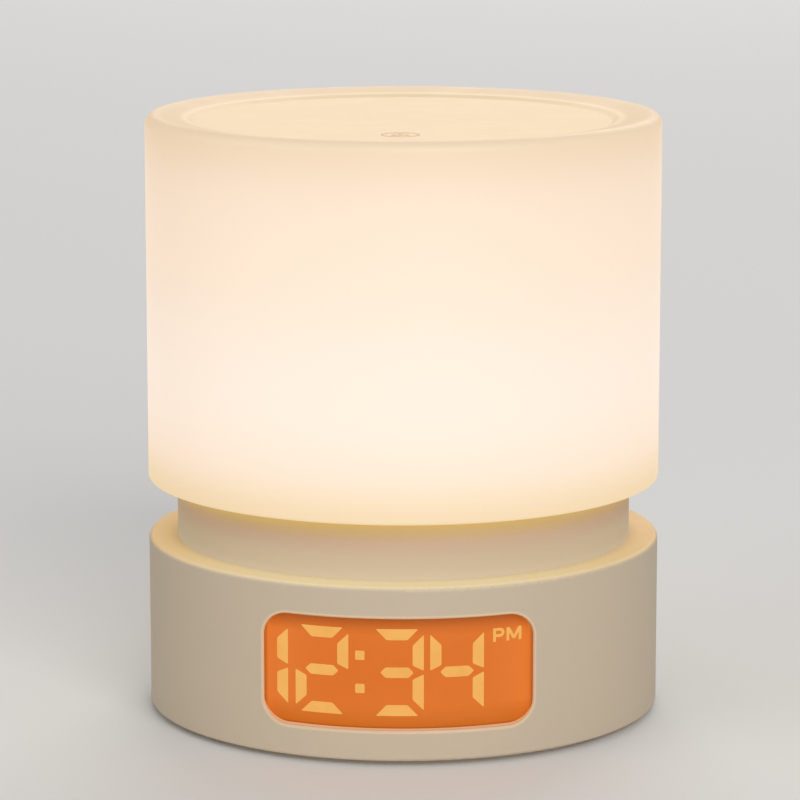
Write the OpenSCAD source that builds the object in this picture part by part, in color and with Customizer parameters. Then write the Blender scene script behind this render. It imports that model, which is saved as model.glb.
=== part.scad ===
// Sunrise alarm clock: a lit drum shade carried on a round clock base.
// Millimetres, +Z up. Origin: centre of the resting plane under the feet.
// The display faces -Y and the controls face +Y.

/* [Body] */
// Outer diameter of the shade and the base
body_d = 110; // [108:1:120]
// Height of the base wall, without the feet
base_h = 36.6; // [36:0.2:42]
// Height of the open groove between base and shade
groove_h = 12.8; // [10:0.2:20]
// Height of the shade
shade_h = 78.1; // [60:1:100]
// How far the neck is set in from the outside of the body
neck_inset = 6.2; // [5.8:0.1:6.8]
// Wall thickness of the base shell
wall_t = 2.2; // [1.8:0.1:2.6]
// Wall thickness of the shade
shade_t = 2; // [1.6:0.1:2.4]
// Gap left all round between two fixed parts that fit together
fit_gap = 0.15; // [0.1:0.05:0.25]

/* [Shade top] */
// Width of the sloping band round the top
band_w = 9; // [7:0.5:11]
// Fall of the sloping band from its crest to its inner edge
band_fall = 1; // [0.6:0.1:1.4]
// Depth of the touch dish inside the band
dish_fall = 0.6; // [0.4:0.1:1]
// Radius of the rounded upper edge
top_round = 2.2; // [1.6:0.1:2.8]

/* [Display] */
// Width of the display window
win_w = 56; // [54:0.5:57]
// Height of the display window
win_h = 24.1; // [23:0.1:25]
// Corner radius of the display window
win_r = 5.4; // [3:0.1:7]
// Height of the window centre above the middle of the base wall
win_rise = -0.1; // [-0.4:0.1:0.4]
// Depth of the lens face behind the outside of the base
lens_inset = 3.3; // [3:0.1:3.6]
// Thickness of the display lens
lens_t = 1.5; // [1.2:0.1:1.8]
// Height of a digit
digit_h = 18.3; // [16:0.1:19]
// Width of a digit
digit_w = 11; // [10:0.1:11.4]
// Width of a digit's bars
bar_w = 2.3; // [1.8:0.1:2.5]

/* [Controls] */
// Diameter of a button's cap
button_d = 5.8; // [5:0.1:6.4]
// Distance between neighbouring buttons
button_pitch = 8.4; // [8.2:0.1:8.8]
// Travel of a button
button_travel = 0.8; // [0.5:0.1:1]
// Gap round a moving cap or knob
run_gap = 0.3; // [0.25:0.05:0.4]
// Travel of the alarm switch
switch_travel = 3; // [2:0.5:3.5]
// Width of the power socket's shell
socket_w = 8.94; // [8.9:0.02:9]
// Height of the power socket's shell
socket_h = 3.26; // [3.2:0.02:3.3]

/* [Underside] */
// Thickness of the bottom cover
cover_t = 2; // [1.8:0.1:2.4]
// Height of the feet below the base's lower edge
foot_h = 1.2; // [0.8:0.1:2]
// Diameter of a foot
foot_d = 10; // [8:0.5:11]
// Diameter of a backup cell
cell_d = 10.5; // [10.2:0.1:10.6]
// Length of a backup cell
cell_l = 44.5; // [43.5:0.5:45]
// Diameter of the speaker
speaker_d = 25; // [22:0.5:25]

/* [Fasteners and boards] */
// Shaft diameter of the self-tapping screws
screw_d = 2.5; // [2:0.1:2.6]
// Head diameter of the screws
head_d = 4.8; // [4.2:0.1:5]
// Thickness of the circuit boards
board_t = 1.6; // [1.2:0.2:1.6]

/* [Hidden] */
$fn = 64;
e = 0.01;
BIG = 192;
body_r = body_d / 2;
in_r = body_r - wall_t;
neck_r = body_r - neck_inset;
z_base = foot_h;
z_shelf = z_base + base_h;
z_ceil = z_shelf - wall_t;
z_shade = z_shelf + groove_h;
z_top = z_shade + shade_h;
z_band = z_top - band_fall;
z_dish = z_band - dish_fall;
z_under_top = z_dish - shade_t;
shade_in = body_r - shade_t;
screw_r = screw_d / 2;
hole_r = screw_r + 0.1;
head_r = head_d / 2;
// underside levels
cov_z0 = z_base + 0.2;
cov_z1 = cov_z0 + cover_t;
// display levels, all measured inwards from the front
wz = z_base + base_h / 2 + win_rise;
lens_r = body_r - lens_inset;
pad_r = lens_r + 0.1;
well_r = lens_r - lens_t - 0.1;
lens_hw = win_w / 2 + 1.4;
pad_hx = win_w / 2 + 3.5;
well_hx = win_w / 2 - 0.4;
dscr_x = win_w / 2 + 4.6;
dscr_z = win_h / 2 - 2.45;
// the display board stands where its front corners clear the wall
db_hx = dscr_x + 2.6;
db_hz = win_h / 2 + 0.95;
disp_y = -sqrt(pow(in_r - 1.73, 2) - pow(db_hx, 2));
// rear control panel
pan_y = body_r - 4;
pan_in = pan_y - wall_t;
pan_hw = 19;
pan_h = 26;
pan_z = z_base + base_h / 2 + 0.9;
cb_y = body_r - 12;
cb_boss = 2.2;
cb_x = 1.5 * button_pitch + 3 + cb_boss + 0.2;
cb_hx = cb_x + 2.3;
cb_z = [-7.4, base_h / 2 - 6.9];
btn_z = pan_z + 6;
low_z = pan_z - 6.2;
btn_r = button_d / 2;
sw_x = -9.5;
usb_x = 7.5;
cap_back = pan_in - 1.4;
// battery bay
pitch = cell_d + 0.5;
bay_y0 = -1.2;
cell_y = [for (i = [0:2]) bay_y0 + 0.55 + cell_d / 2 + i * pitch];
bay_y1 = cell_y[2] + cell_d / 2 + 0.55;
bay_hx = cell_l / 2 + 3.6;
bay_w = 2;
cell_z = cov_z1 + 0.3 + cell_d / 2;
roof_z0 = cell_z + cell_d / 2 + 0.3;
roof_z1 = roof_z0 + 1.6;
door_y0 = bay_y0 - 0.9;
door_y1 = bay_y1 + 0.9;
door_hx = bay_hx + 0.9;
door_z1 = cov_z1 - 0.3;
hook_x = 14;
hook_round = norm([1.2, cov_z1 + 1.5 - cov_z0]);
latch_y = door_y1 + 2.55;
latch_end = latch_y + 2.55;
// speaker
spk_r = speaker_d / 2;
spk_y = bay_y0 - bay_w - spk_r - 1.5;
// boards
mb_z0 = roof_z1 + 4;
mb_z1 = mb_z0 + board_t;
mb_y0 = disp_y + board_t + 3.4;
mb_y1 = cb_y - board_t - 4.4;
mb_hx = 26;
// lamp head levels
fl_z0 = z_shade + 0.4;
fl_z1 = fl_z0 + 1.6;
fl_r = shade_in - fit_gap;
led_z0 = fl_z1 + 2.2;
led_z1 = led_z0 + 1.2;
led_r = shade_in - 4;
ref_r = shade_in - 0.8;
lamp_scr_r = led_r - 17.5;
lamp_scr = [90, 210, 330];
ref_z1 = led_z1 + 0.5;
boss_r = 4;
collar_r = neck_r - 1.3 - boss_r;
shelf_in = collar_r - boss_r - 1.5;
// room in the lamp floor for the cable's plugs to pass through
plug_hx = 4.4;
plug_y = [2.6, 7.4];
lead_hole_r = norm([plug_hx, plug_y[1]]) + 0.6;
cover_r = in_r - 6.8;
cover_pt = [cover_r * cos(15), cover_r * sin(15)];
foot_x = door_hx + 7.25;
foot_pt = [foot_x, sqrt(pow(in_r - 7.4569, 2) - pow(foot_x, 2))];
post_x = 22;
post_yf = mb_y0 + 4;
post_yr = bay_y1 - 3.8;
touch_y = 22 - body_r;

// ---------- shared shapes ----------

// rounded rectangle, centred
module rrect(w, h, r) {
  square([w - 2 * r, h], center = true);
  square([w, h - 2 * r], center = true);
  for (x = [-1, 1], y = [-1, 1])
    translate([x * (w / 2 - r), y * (h / 2 - r)]) circle(r);
}

// box given by its two corners
module box(a, b) {
  translate(a) cube(b - a);
}

// flat ring from z0 to z1
module ring(ro, ri, z0, z1) {
  translate([0, 0, z0]) difference() {
    cylinder(r = ro, h = z1 - z0, $fn = BIG);
    translate([0, 0, -1]) cylinder(r = ri, h = z1 - z0 + 2, $fn = BIG);
  }
}

// outline drawn in X and Z, run from y0 to y1
module along_y(y0, y1) {
  translate([0, y1, 0]) rotate([90, 0, 0]) linear_extrude(y1 - y0) children();
}

// outline drawn in Y and Z, run from -hx to +hx
module along_x(hx) {
  translate([-hx, 0, 0]) rotate([90, 0, 90]) linear_extrude(2 * hx) children();
}

// four copies at +-x, +-y
module four(x, y) {
  for (i = [-1, 1], j = [-1, 1]) translate([i * x, j * y, 0]) children();
}

// four copies on a circle, at 45 degrees to the axes
module diagonal(r) {
  four(r * cos(45), r * sin(45)) children();
}

// self-tapping screw along +Z: shaft below z = 0, pan head above it
module screw(l, h = 1.8) {
  translate([0, 0, -l]) cylinder(r = screw_r, h = l);
  difference() {
    cylinder(r = head_r, h = h);
    for (a = [0, 90]) rotate(a)
      translate([0, 0, h]) cube([head_r * 1.1, 0.6, 1.6], center = true);
  }
}

// quarter-round cutter: removes the outer corner at [x, y]
module round_cut(x, y, r) {
  translate([x - r, y - r]) difference() {
    square(r + 1);
    circle(r, $fn = 96);
  }
}

// ---------- digits ----------
ha = (digit_w - bar_w) / 2;
hb = (digit_h - bar_w) / 2;
tb = bar_w;

module seg_side(s, t) {
  u0 = s * (ha + tb / 2);
  u1 = s * (ha - tb / 2);
  polygon([[u0, t * 0.38], [u0, t * (hb - 0.05)], [u1, t * (hb - tb)],
    [u1, t * 1.5]]);
}
module seg_end(t) {
  polygon([[-ha, t * (hb + tb / 2)], [ha, t * (hb + tb / 2)],
    [ha - tb + 0.1, t * (hb - tb / 2)], [tb - 0.1 - ha, t * (hb - tb / 2)]]);
}
module seg_mid() {
  m = ha - 0.9;
  polygon([[-m, 0], [1.1 - m, 1.1], [m - 1.1, 1.1], [m, 0], [m - 1.1, -1.1],
    [1.1 - m, -1.1]]);
}
digit_x = [-15.7, -0.2, 12.1];
one_x = -28.3;
colon_x = -7.83;
mark_x = 22.3;
mark_z = 7;
dz = -0.25;

// ---------- lamp head ----------

module shade() {
  color([1, 0.96, 0.88]) {
    rotate_extrude($fn = BIG) difference() {
      translate([0, z_shade]) square([body_r, shade_h]);
      translate([0, z_shade - 1]) square([shade_in, z_under_top - z_shade - 1]);
      difference() {
        translate([0, z_under_top - 3]) square([shade_in, 3]);
        round_cut(shade_in, z_under_top, 2);
      }
      round_cut(body_r, z_top, top_round);
      polygon([[body_r - top_round, z_top + 1], [body_r - top_round, z_top],
        [body_r - band_w, z_band], [body_r - band_w - 1.6, z_dish],
        [0, z_dish], [0, z_top + 1]]);
      translate([body_r, z_shade]) mirror([0, 1])
        translate([-0.6, -0.6]) difference() { square(2); circle(0.6); }
    }
    // snap beads that hold the shade on the lamp floor
    for (a = [30:60:330]) rotate(a)
      intersection() {
        ring(shade_in + 0.5, shade_in - 0.9, fl_z1 + 0.6, fl_z1 + 1.6);
        translate([shade_in - 3, -4, 0]) cube([6, 8, z_top]);
      }
  }
}

module touch_electrode() {
  color([0.8, 0.8, 0.78])
    translate([0, touch_y, z_under_top - 0.4]) cylinder(r = 7, h = 0.3);
}

module touch_lead() {
  color([0.78, 0.6, 0.35]) {
    box([-1.5, touch_y + 7.1, z_under_top - 0.4],
      [1.5, led_r - 0.4, z_under_top - 0.1]);
    box([-1.5, led_r - 0.7, led_z1], [1.5, led_r - 0.4, z_under_top - 0.2]);
  }
}

lamp_rings = [[6, led_r - 37], [12, led_r - 24], [18, led_r - 11]];

module lamp_grid() {
  for (g = lamp_rings) for (i = [0:g[0] - 1])
    rotate((i + 0.5) * 360 / g[0]) translate([g[1], 0, 0]) children();
}

module reflector() {
  color([0.97, 0.97, 0.96]) difference() {
    translate([0, 0, led_z1]) cylinder(r = ref_r, h = 0.5, $fn = BIG);
    lamp_grid() translate([-1.7, -2, led_z1 - 1]) cube([3.4, 4, 3]);
    for (a = lamp_scr) rotate(a)
      translate([lamp_scr_r, 0, led_z1 - 1]) cylinder(r = head_r + 0.3, h = 3);
    box([-2.2, led_r - 1.2, led_z1 - 1], [2.2, led_r + 0.4, led_z1 + 2]);
  }
}

module lamp_leds() {
  color([1, 0.86, 0.5]) lamp_grid()
    translate([-1.4, -1.75, led_z1]) cube([2.8, 3.5, 0.8]);
}

module led_board() {
  color([0.9, 0.9, 0.88]) difference() {
    translate([0, 0, led_z0]) cylinder(r = led_r, h = led_z1 - led_z0, $fn = BIG);
    diagonal(collar_r) translate([0, 0, led_z0 - 1])
      cylinder(r = head_r + 0.6, h = 4);
    for (a = lamp_scr) rotate(a)
      translate([lamp_scr_r, 0, led_z0 - 1]) cylinder(r = hole_r, h = 4);
  }
}

module led_board_screws() {
  color([0.75, 0.75, 0.76]) for (a = lamp_scr) rotate(a)
    translate([lamp_scr_r, 0, led_z1]) screw(4, 1.6);
}

module lamp_floor() {
  color([0.93, 0.92, 0.9]) difference() {
    union() {
      ring(fl_r, lead_hole_r, fl_z0, fl_z1);
      ring(fl_r, fl_r - 1.4, fl_z1 - e, led_z1 - 0.3);
      for (a = lamp_scr) rotate(a)
        translate([lamp_scr_r, 0, fl_z1 - e]) cylinder(r = 3, h = led_z0 - fl_z1 + e);
      for (a = lamp_scr) rotate(a)
        translate([lamp_scr_r, 0, fl_z0 - 2.4]) cylinder(r = 3, h = 2.4 + e);
    }
    diagonal(collar_r) translate([0, 0, fl_z0 - 1]) cylinder(r = hole_r, h = 4);
    for (a = lamp_scr) rotate(a)
      translate([lamp_scr_r, 0, fl_z0 - 2]) cylinder(r = hole_r, h = 9);
    for (a = [30:60:330]) rotate(a)
      translate([fl_r - 3, -4.2, fl_z1 + 0.4]) cube([6, 8.4, 1.4]);
  }
}

module lamp_floor_screws() {
  color([0.75, 0.75, 0.76])
    diagonal(collar_r) translate([0, 0, fl_z1]) screw(7, 1.6);
}

module lamp_cable() {
  color([0.75, 0.2, 0.15])
    for (x = [-2.5, 0, 2.5]) translate([x, 5, mb_z1 + 7])
      cylinder(r = 0.7, h = led_z0 - 5 - mb_z1 - 7, $fn = 24);
}

module cable_plugs() {
  color([0.92, 0.9, 0.84]) {
    box([-plug_hx, plug_y[0], mb_z1 + 2], [plug_hx, plug_y[1], mb_z1 + 7]);
    box([-plug_hx, plug_y[0], led_z0 - 5], [plug_hx, plug_y[1], led_z0 - 1.6]);
  }
}

// ---------- neck ----------

module neck_collar() {
  color([0.76, 0.69, 0.6]) difference() {
    union() {
      ring(neck_r, neck_r - 2, z_shelf, fl_z0);
      diagonal(collar_r) translate([0, 0, z_shelf])
        cylinder(r = boss_r, h = fl_z0 - z_shelf);
    }
    diagonal(collar_r) translate([0, 0, z_shelf - 1])
      cylinder(r = hole_r, h = 40);
  }
}

module collar_screws() {
  color([0.75, 0.75, 0.76])
    diagonal(collar_r) translate([0, 0, z_ceil]) mirror([0, 0, 1]) screw(7.6);
}

// ---------- base ----------

module base_wall() {
  rotate_extrude($fn = BIG) difference() {
    translate([shelf_in, z_base]) square([body_r - shelf_in, base_h]);
    translate([0, z_base - 1]) square([in_r, z_ceil - z_base + 1]);
    round_cut(body_r, z_shelf, 1);
    translate([body_r, z_base]) mirror([0, 1])
      translate([-0.6, -0.6]) difference() { square(2); circle(0.6); }
  }
  // lip that centres the collar
  ring(neck_r - 2 - fit_gap, neck_r - 3.6, z_shelf - e, z_shelf + 1.2);
}

module base_shell() {
  color([0.76, 0.69, 0.6]) difference() {
    union() {
      difference() {
        base_wall();
        // the collar's bosses come down through the lip
        diagonal(collar_r) translate([0, 0, z_shelf])
          cylinder(r = boss_r + fit_gap, h = 3);
      }
      // thicker wall round the window
      intersection() {
        ring(in_r + 0.5, pad_r, cov_z1 + 0.4, z_ceil + 0.5);
        box([-pad_hx, -body_r, 0], [pad_hx, 0, z_shelf]);
      }
      // bosses for the display board
      intersection() {
        translate([0, 0, z_base]) cylinder(r = in_r + 0.6, h = base_h - 1, $fn = BIG);
        for (x = [-1, 1], z = [-1, 1])
          translate([x * dscr_x, disp_y, wz + z * dscr_z]) rotate([90, 0, 0])
            cylinder(r = 2.5, h = 10);
      }
      // flat back of the control panel, with two pairs of board bosses
      intersection() {
        translate([0, 0, z_base]) cylinder(r = in_r + 0.6, h = base_h - 1, $fn = BIG);
        union() {
          box([-30, pan_in, cov_z1 + 0.4], [30, body_r, z_shelf - 1]);
          for (x = [-1, 1], z = cb_z)
            translate([x * cb_x, cb_y, pan_z + z]) rotate([-90, 0, 0])
              cylinder(r = cb_boss, h = 7);
        }
      }
      // bosses for the cover screws, ribbed to the wall
      four(cover_pt[0], cover_pt[1]) translate([0, 0, cov_z1])
        cylinder(r = 3, h = z_ceil - cov_z1 + 0.5);
      for (i = [-1, 1], j = [-1, 1])
        rotate(j * 15 + (i > 0 ? 0 : 180))
          box([cover_r + 1, -0.75, cov_z1], [in_r + 0.5, 0.75, z_ceil + 0.5]);
    }
    // display window
    translate([0, 0, wz]) along_y(-body_r - 1, -40) rrect(win_w, win_h, win_r);
    // sunk control panel and its openings
    translate([0, 0, pan_z]) along_y(pan_y, body_r + 1)
      rrect(2 * pan_hw, pan_h, 3);
    for (i = [-1.5:1:1.5])
      translate([i * button_pitch, 0, btn_z]) rotate([-90, 0, 0])
        cylinder(r = btn_r + run_gap, h = body_r + 2);
    translate([usb_x, 0, low_z]) along_y(pan_in - 2, pan_y + 1)
      rrect(socket_w + 0.4, socket_h + 0.4, (socket_h + 0.4) / 2 - e);
    box([sw_x - switch_travel / 2 - 1.2 - run_gap, pan_in - 2, low_z - 1.4],
      [sw_x + switch_travel / 2 + 1.2 + run_gap, pan_y + 1, low_z + 1.4]);
    // screw holes
    diagonal(collar_r) translate([0, 0, z_ceil - 1]) cylinder(r = hole_r, h = 5);
    four(cover_pt[0], cover_pt[1]) translate([0, 0, cov_z1 - 1])
      cylinder(r = hole_r, h = 13);
    for (x = [-1, 1], z = [-1, 1]) {
      translate([x * dscr_x, disp_y + 1, wz + z * dscr_z]) rotate([90, 0, 0])
        cylinder(r = hole_r, h = 5.2);
    }
    for (x = [-1, 1], z = cb_z)
      translate([x * cb_x, cb_y - 1, pan_z + z]) rotate([-90, 0, 0])
        cylinder(r = hole_r - 0.3, h = 6);
  }
}

module display_lens() {
  color([0.85, 0.45, 0.18]) intersection() {
    ring(lens_r, lens_r - lens_t, wz - win_h / 2 - 1.6, wz + win_h / 2 + 1.6);
    box([-lens_hw, -body_r, 0], [lens_hw, 0, z_shelf]);
  }
}

// Light wells: every bar of every digit is a separate channel right through
// the block, from its own light on the board to the curved front face.
module light_wells() {
  color([0.94, 0.94, 0.92]) difference() {
    intersection() {
      translate([0, 0, wz - win_h / 2 - 0.5])
        cylinder(r = well_r, h = win_h + 1, $fn = BIG);
      box([-well_hx, -body_r, 0], [well_hx, disp_y, z_shelf]);
    }
    translate([0, 0, wz + dz]) along_y(-body_r, disp_y + 1) {
      for (x = digit_x) translate([x, 0]) {
        for (s = [-1, 1], t = [-1, 1]) seg_side(s, t);
        for (t = [-1, 1]) seg_end(t);
        seg_mid();
      }
      translate([one_x, 0]) for (t = [-1, 1]) seg_side(1, t);
      for (t = [-1, 1]) translate([colon_x, t * 3.5]) square(1.95, center = true);
      translate([mark_x, mark_z]) square([6.6, 3.6], center = true);
    }
  }
}

module display_board() {
  color([0.1, 0.35, 0.2]) difference() {
    box([-db_hx, disp_y, wz - db_hz], [db_hx, disp_y + board_t, wz + db_hz]);
    for (x = [-1, 1], z = [-1, 1])
      translate([x * dscr_x, disp_y + 3, wz + z * dscr_z]) rotate([90, 0, 0])
        cylinder(r = hole_r, h = 5);
  }
}

module display_leds() {
  color([1, 0.9, 0.6]) translate([0, 0, wz + dz]) along_y(disp_y - 0.7, disp_y) {
    for (x = digit_x) translate([x, 0]) {
      for (s = [-1, 1], t = [-1, 1])
        translate([s * ha, t * hb * 0.5]) square([1.2, 2], center = true);
      for (t = [-1, 0, 1])
        translate([0, t * hb]) square([2, 1.2], center = true);
    }
    for (t = [-1, 1])
      translate([one_x + ha, t * hb * 0.5]) square([1.2, 2], center = true);
    for (t = [-1, 1]) translate([colon_x, t * 3.5]) square(1.2, center = true);
    translate([mark_x, mark_z]) square([2, 1.2], center = true);
  }
}

module display_screws() {
  color([0.75, 0.75, 0.76]) for (x = [-1, 1], z = [-1, 1])
    translate([x * dscr_x, disp_y + board_t, wz + z * dscr_z])
      rotate([-90, 0, 0]) screw(5.2, 1.5);
}

// ---------- main board ----------

module main_board() {
  color([0.1, 0.35, 0.2]) difference() {
    box([-mb_hx, mb_y0, mb_z0], [mb_hx, mb_y1, mb_z1]);
    for (x = [-1, 1], y = [post_yf, post_yr]) translate([x * post_x, y, mb_z0 - 1])
      cylinder(r = hole_r, h = 4);
  }
}

module main_board_screws() {
  color([0.75, 0.75, 0.76]) for (x = [-1, 1], y = [post_yf, post_yr])
    translate([x * post_x, y, mb_z1]) screw(5, 1.5);
}

module board_chips() {
  color([0.12, 0.12, 0.13]) {
    box([-14, -16, mb_z1], [-5, -7, mb_z1 + 1.6]);
    box([9, -17, mb_z1], [14, -11, mb_z1 + 1.5]);
    box([10, 12, mb_z1], [15, 18, mb_z1 + 1.5]);
    box([-18, 4, mb_z1], [-12, 8, mb_z1 + 1.5]);
    box([-14, 16, mb_z1], [-9, 19, mb_z1 + 2.2]);
    box([17, -4, mb_z1], [23, 2, mb_z1 + 3]);
  }
}

module capacitors() {
  color([0.16, 0.18, 0.3]) {
    translate([18, 20, mb_z1]) cylinder(r = 3.15, h = 7);
    translate([11, 24, mb_z1]) cylinder(r = 2.5, h = 6);
    translate([-20, -12, mb_z1]) cylinder(r = 2.5, h = 6);
    translate([17, -21, mb_z1]) cylinder(r = 2, h = 5);
  }
}

module cable_sockets() {
  zc = mb_z1 + 1;
  color([0.92, 0.9, 0.84]) {
    box([-5, 2, mb_z1], [5, 8, mb_z1 + 1.9]);
    box([-5, 2, led_z0 - 1.5], [5, 8, led_z0]);
    difference() {
      union() {
        box([-7, mb_y0 + 0.5, mb_z1], [7, mb_y0 + 4, mb_z1 + 2]);
        box([-7, disp_y + board_t, mb_z1], [7, disp_y + board_t + 2, mb_z1 + 2]);
        box([-7, mb_y1 - 4, mb_z1], [7, mb_y1 - 0.5, mb_z1 + 2]);
        box([-7, cb_y - board_t - 2, mb_z1], [7, cb_y - board_t, mb_z1 + 2]);
      }
      box([-6, mb_y0 - 3, zc - 0.3], [6, mb_y0 + 3.5, zc + 0.3]);
      box([-6, mb_y1 - 3.5, zc - 0.3], [6, mb_y1 + 4, zc + 0.3]);
    }
  }
}

module flat_cables() {
  zc = mb_z1 + 1;
  color([0.85, 0.86, 0.88]) {
    box([-5.6, disp_y + board_t + 0.6, zc - 0.15], [5.6, mb_y0 + 3.2, zc + 0.15]);
    box([-5.6, mb_y1 - 3.2, zc - 0.15], [5.6, cb_y - board_t - 0.6, zc + 0.15]);
  }
}

// ---------- speaker ----------

module speaker_frame() {
  color([0.2, 0.2, 0.21]) translate([0, spk_y, cov_z1 + 0.3]) difference() {
    rotate_extrude($fn = 96) polygon([[spk_r - 2.2, 0], [spk_r, 0], [spk_r, 1.4],
      [spk_r - 2, 1.8], [9.2, 4.2], [9.2, 4.8], [5, 4.8], [5, 4], [8.4, 4],
      [spk_r - 2.8, 1.6], [spk_r - 2.8, 0.7], [spk_r - 2.2, 0.7]]);
    for (a = [0:90:270]) rotate(a + 45)
      translate([10, 0, 2.6]) cube([2, 5, 2], center = true);
  }
}

module speaker_cone() {
  color([0.3, 0.29, 0.28]) translate([0, spk_y, cov_z1 + 0.3])
    rotate_extrude($fn = 96) polygon([[0, 2.2], [3, 2.6], [spk_r - 3.2, 0.4],
      [spk_r - 2.3, 0.4], [spk_r - 2.3, 0.7], [spk_r - 3.1, 0.7], [3.2, 3],
      [0, 2.6]]);
}

module speaker_magnet() {
  color([0.5, 0.5, 0.52]) translate([0, spk_y, cov_z1 + 5.1])
    cylinder(r = 8, h = 3.6);
}

module inner_leads() {
  color([0.15, 0.15, 0.16]) {
    for (x = [-2, 2]) translate([x, spk_y + spk_r - 1.1, cov_z1 + 2.05])
      cylinder(r = 0.5, h = mb_z0 - cov_z1 - 2.05, $fn = 16);
    for (x = [-1, 1]) translate([x * (bay_hx - 1), 22, roof_z1])
      cylinder(r = 0.5, h = mb_z0 - roof_z1, $fn = 16);
  }
}

// ---------- underside ----------

module bottom_cover() {
  color([0.7, 0.63, 0.54]) difference() {
    union() {
      translate([0, 0, cov_z0]) cylinder(r = in_r - fit_gap, h = cover_t, $fn = BIG);
      // battery bay with its roof, and the pocket for the door's latch
      box([-bay_hx - bay_w, bay_y0 - bay_w, cov_z1 - e],
        [bay_hx + bay_w, bay_y1 + bay_w, roof_z1]);
      box([-7.6, bay_y1, cov_z1 - e], [7.6, latch_end + 2.4, cov_z1 + 7]);
      // posts for the main board
      for (x = [-1, 1]) {
        translate([x * post_x, post_yf, cov_z1 - e])
          cylinder(r = 3, h = mb_z0 - cov_z1 + e);
        translate([x * post_x, post_yr, roof_z1 - e])
          cylinder(r = 3, h = mb_z0 - roof_z1 + e);
      }
      // ring that seats the speaker
      translate([0, spk_y, 0]) ring(spk_r + 1.35, spk_r + fit_gap, cov_z1 - e, cov_z1 + 3);
    }
    // inside of the bay, door opening, latch pocket
    box([-bay_hx, bay_y0, cov_z0 - 1], [bay_hx, bay_y1, roof_z0]);
    box([-door_hx - run_gap, door_y0 - run_gap, cov_z0 - 1],
      [door_hx + run_gap, door_y1 + run_gap, cov_z1]);
    box([-6, bay_y1 - 1, cov_z0 - 1], [6, latch_end + 0.9, cov_z1 + 5.6]);
    // slots for the door's hooks
    for (x = [-1, 1]) box([x * hook_x - 3.4, bay_y0 - 4, cov_z1],
      [x * hook_x + 3.4, bay_y0 + 1, cov_z1 + 3.6]);
    for (x = [-1, 1], y = [post_yf, post_yr]) translate([x * post_x, y, mb_z0 - 4])
      cylinder(r = hole_r, h = 6);
    // sound holes
    translate([0, spk_y, cov_z0 - 1]) {
      cylinder(r = 0.9, h = 6, $fn = 24);
      for (a = [0:60:300]) rotate(a) translate([3.6, 0, 0])
        cylinder(r = 0.9, h = 6, $fn = 24);
      for (a = [15:30:345]) rotate(a) translate([7.2, 0, 0])
        cylinder(r = 0.9, h = 6, $fn = 24);
    }
    // foot seats and sunk screw holes
    four(foot_pt[0], foot_pt[1]) translate([0, 0, cov_z0 - 1])
      cylinder(r = foot_d / 2 + fit_gap, h = 1.5);
    four(cover_pt[0], cover_pt[1]) translate([0, 0, cov_z0 - 1]) {
      cylinder(r = hole_r + 0.1, h = 9);
      cylinder(r = head_r + 0.3, h = 2.2);
    }
  }
}

module cover_screws() {
  color([0.75, 0.75, 0.76]) four(cover_pt[0], cover_pt[1])
    translate([0, 0, cov_z0 + 1.2]) mirror([0, 0, 1]) screw(10, 1.1);
}

module rubber_feet() {
  color([0.12, 0.12, 0.12]) four(foot_pt[0], foot_pt[1]) rotate_extrude()
    difference() {
      square([foot_d / 2, cov_z0 + 0.5]);
      translate([foot_d / 2, 0]) mirror([0, 1]) translate([-0.5, -0.5])
        difference() { square(1); circle(0.5); }
    }
}

module battery_door() {
  color([0.7, 0.63, 0.54]) {
    difference() {
      union() {
        box([-door_hx, door_y0, cov_z0], [door_hx, door_y1, door_z1]);
        box([-5.6, door_y1 - e, cov_z0], [5.6, latch_end, door_z1]);
        for (x = [-1, 1]) {
          box([x * hook_x - 3, door_y0, door_z1 - e],
            [x * hook_x + 3, bay_y0 + 0.7, cov_z1 + 1.5]);
          intersection() {
            box([x * hook_x - 3, door_y0 - 2.3, cov_z1 + 0.3],
              [x * hook_x + 3, door_y0 + 0.5, cov_z1 + 1.5]);
            // back of the hook rounded about the hinge line
            translate([x * hook_x, 0, 0]) along_x(4)
              translate([door_y0, cov_z0]) circle(hook_round);
          }
        }
      }
      box([-5.7, door_y1 + 0.9, cov_z0 - 1], [5.7, latch_end + 1, door_z1 + 1]);
      for (i = [-2:2]) box([i * 3 - 0.5, door_y1 - 7, cov_z0 - 1],
        [i * 3 + 0.5, door_y1 - 2, cov_z0 + 0.5]);
    }
    // sprung latch: a folded leaf, drawn squeezed in, as it swings
    along_x(4) {
      translate([latch_y, cov_z1 + 2.2]) difference() {
        circle(1.75);
        circle(0.85);
        translate([-3, -6]) square([6, 6]);
      }
      translate([latch_y - 1.75, cov_z0]) square([0.9, cov_z1 + 2.2 - cov_z0]);
      translate([latch_y + 0.85, cov_z0]) square([0.9, cov_z1 + 2.2 - cov_z0]);
    }
    box([-4, door_y1 + 0.5, cov_z0], [4, latch_y - 1, door_z1]);
  }
}

module battery_cells() {
  color([0.2, 0.21, 0.24]) for (i = [0:2])
    translate([0, cell_y[i], cell_z]) rotate([0, i == 1 ? -90 : 90, 0])
      translate([0, 0, -cell_l / 2]) {
        cylinder(r = cell_d / 2, h = cell_l - 1);
        cylinder(r = 1.9, h = cell_l);
      }
}

// helical contact spring along +Z: wire radius w, coil radius r
module coil(w, r, h, n) {
  p = h / n;
  a1 = 360 * w / p;
  s = [-1, -0.8, -0.4, 0, 0.4, 0.8, 1];
  linear_extrude(height = h, twist = -360 * n, slices = 16 * n, $fn = 12)
    polygon(concat(
      [for (k = s) let (q = w * sqrt(max(0, 1 - k * k)) + 0.02)
        [(r + q) * cos(k * a1), (r + q) * sin(k * a1)]],
      [for (k = s) let (q = w * sqrt(max(0, 1 - k * k)) + 0.02)
        [(r - q) * cos(-k * a1), (r - q) * sin(-k * a1)]]));
}

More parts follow.
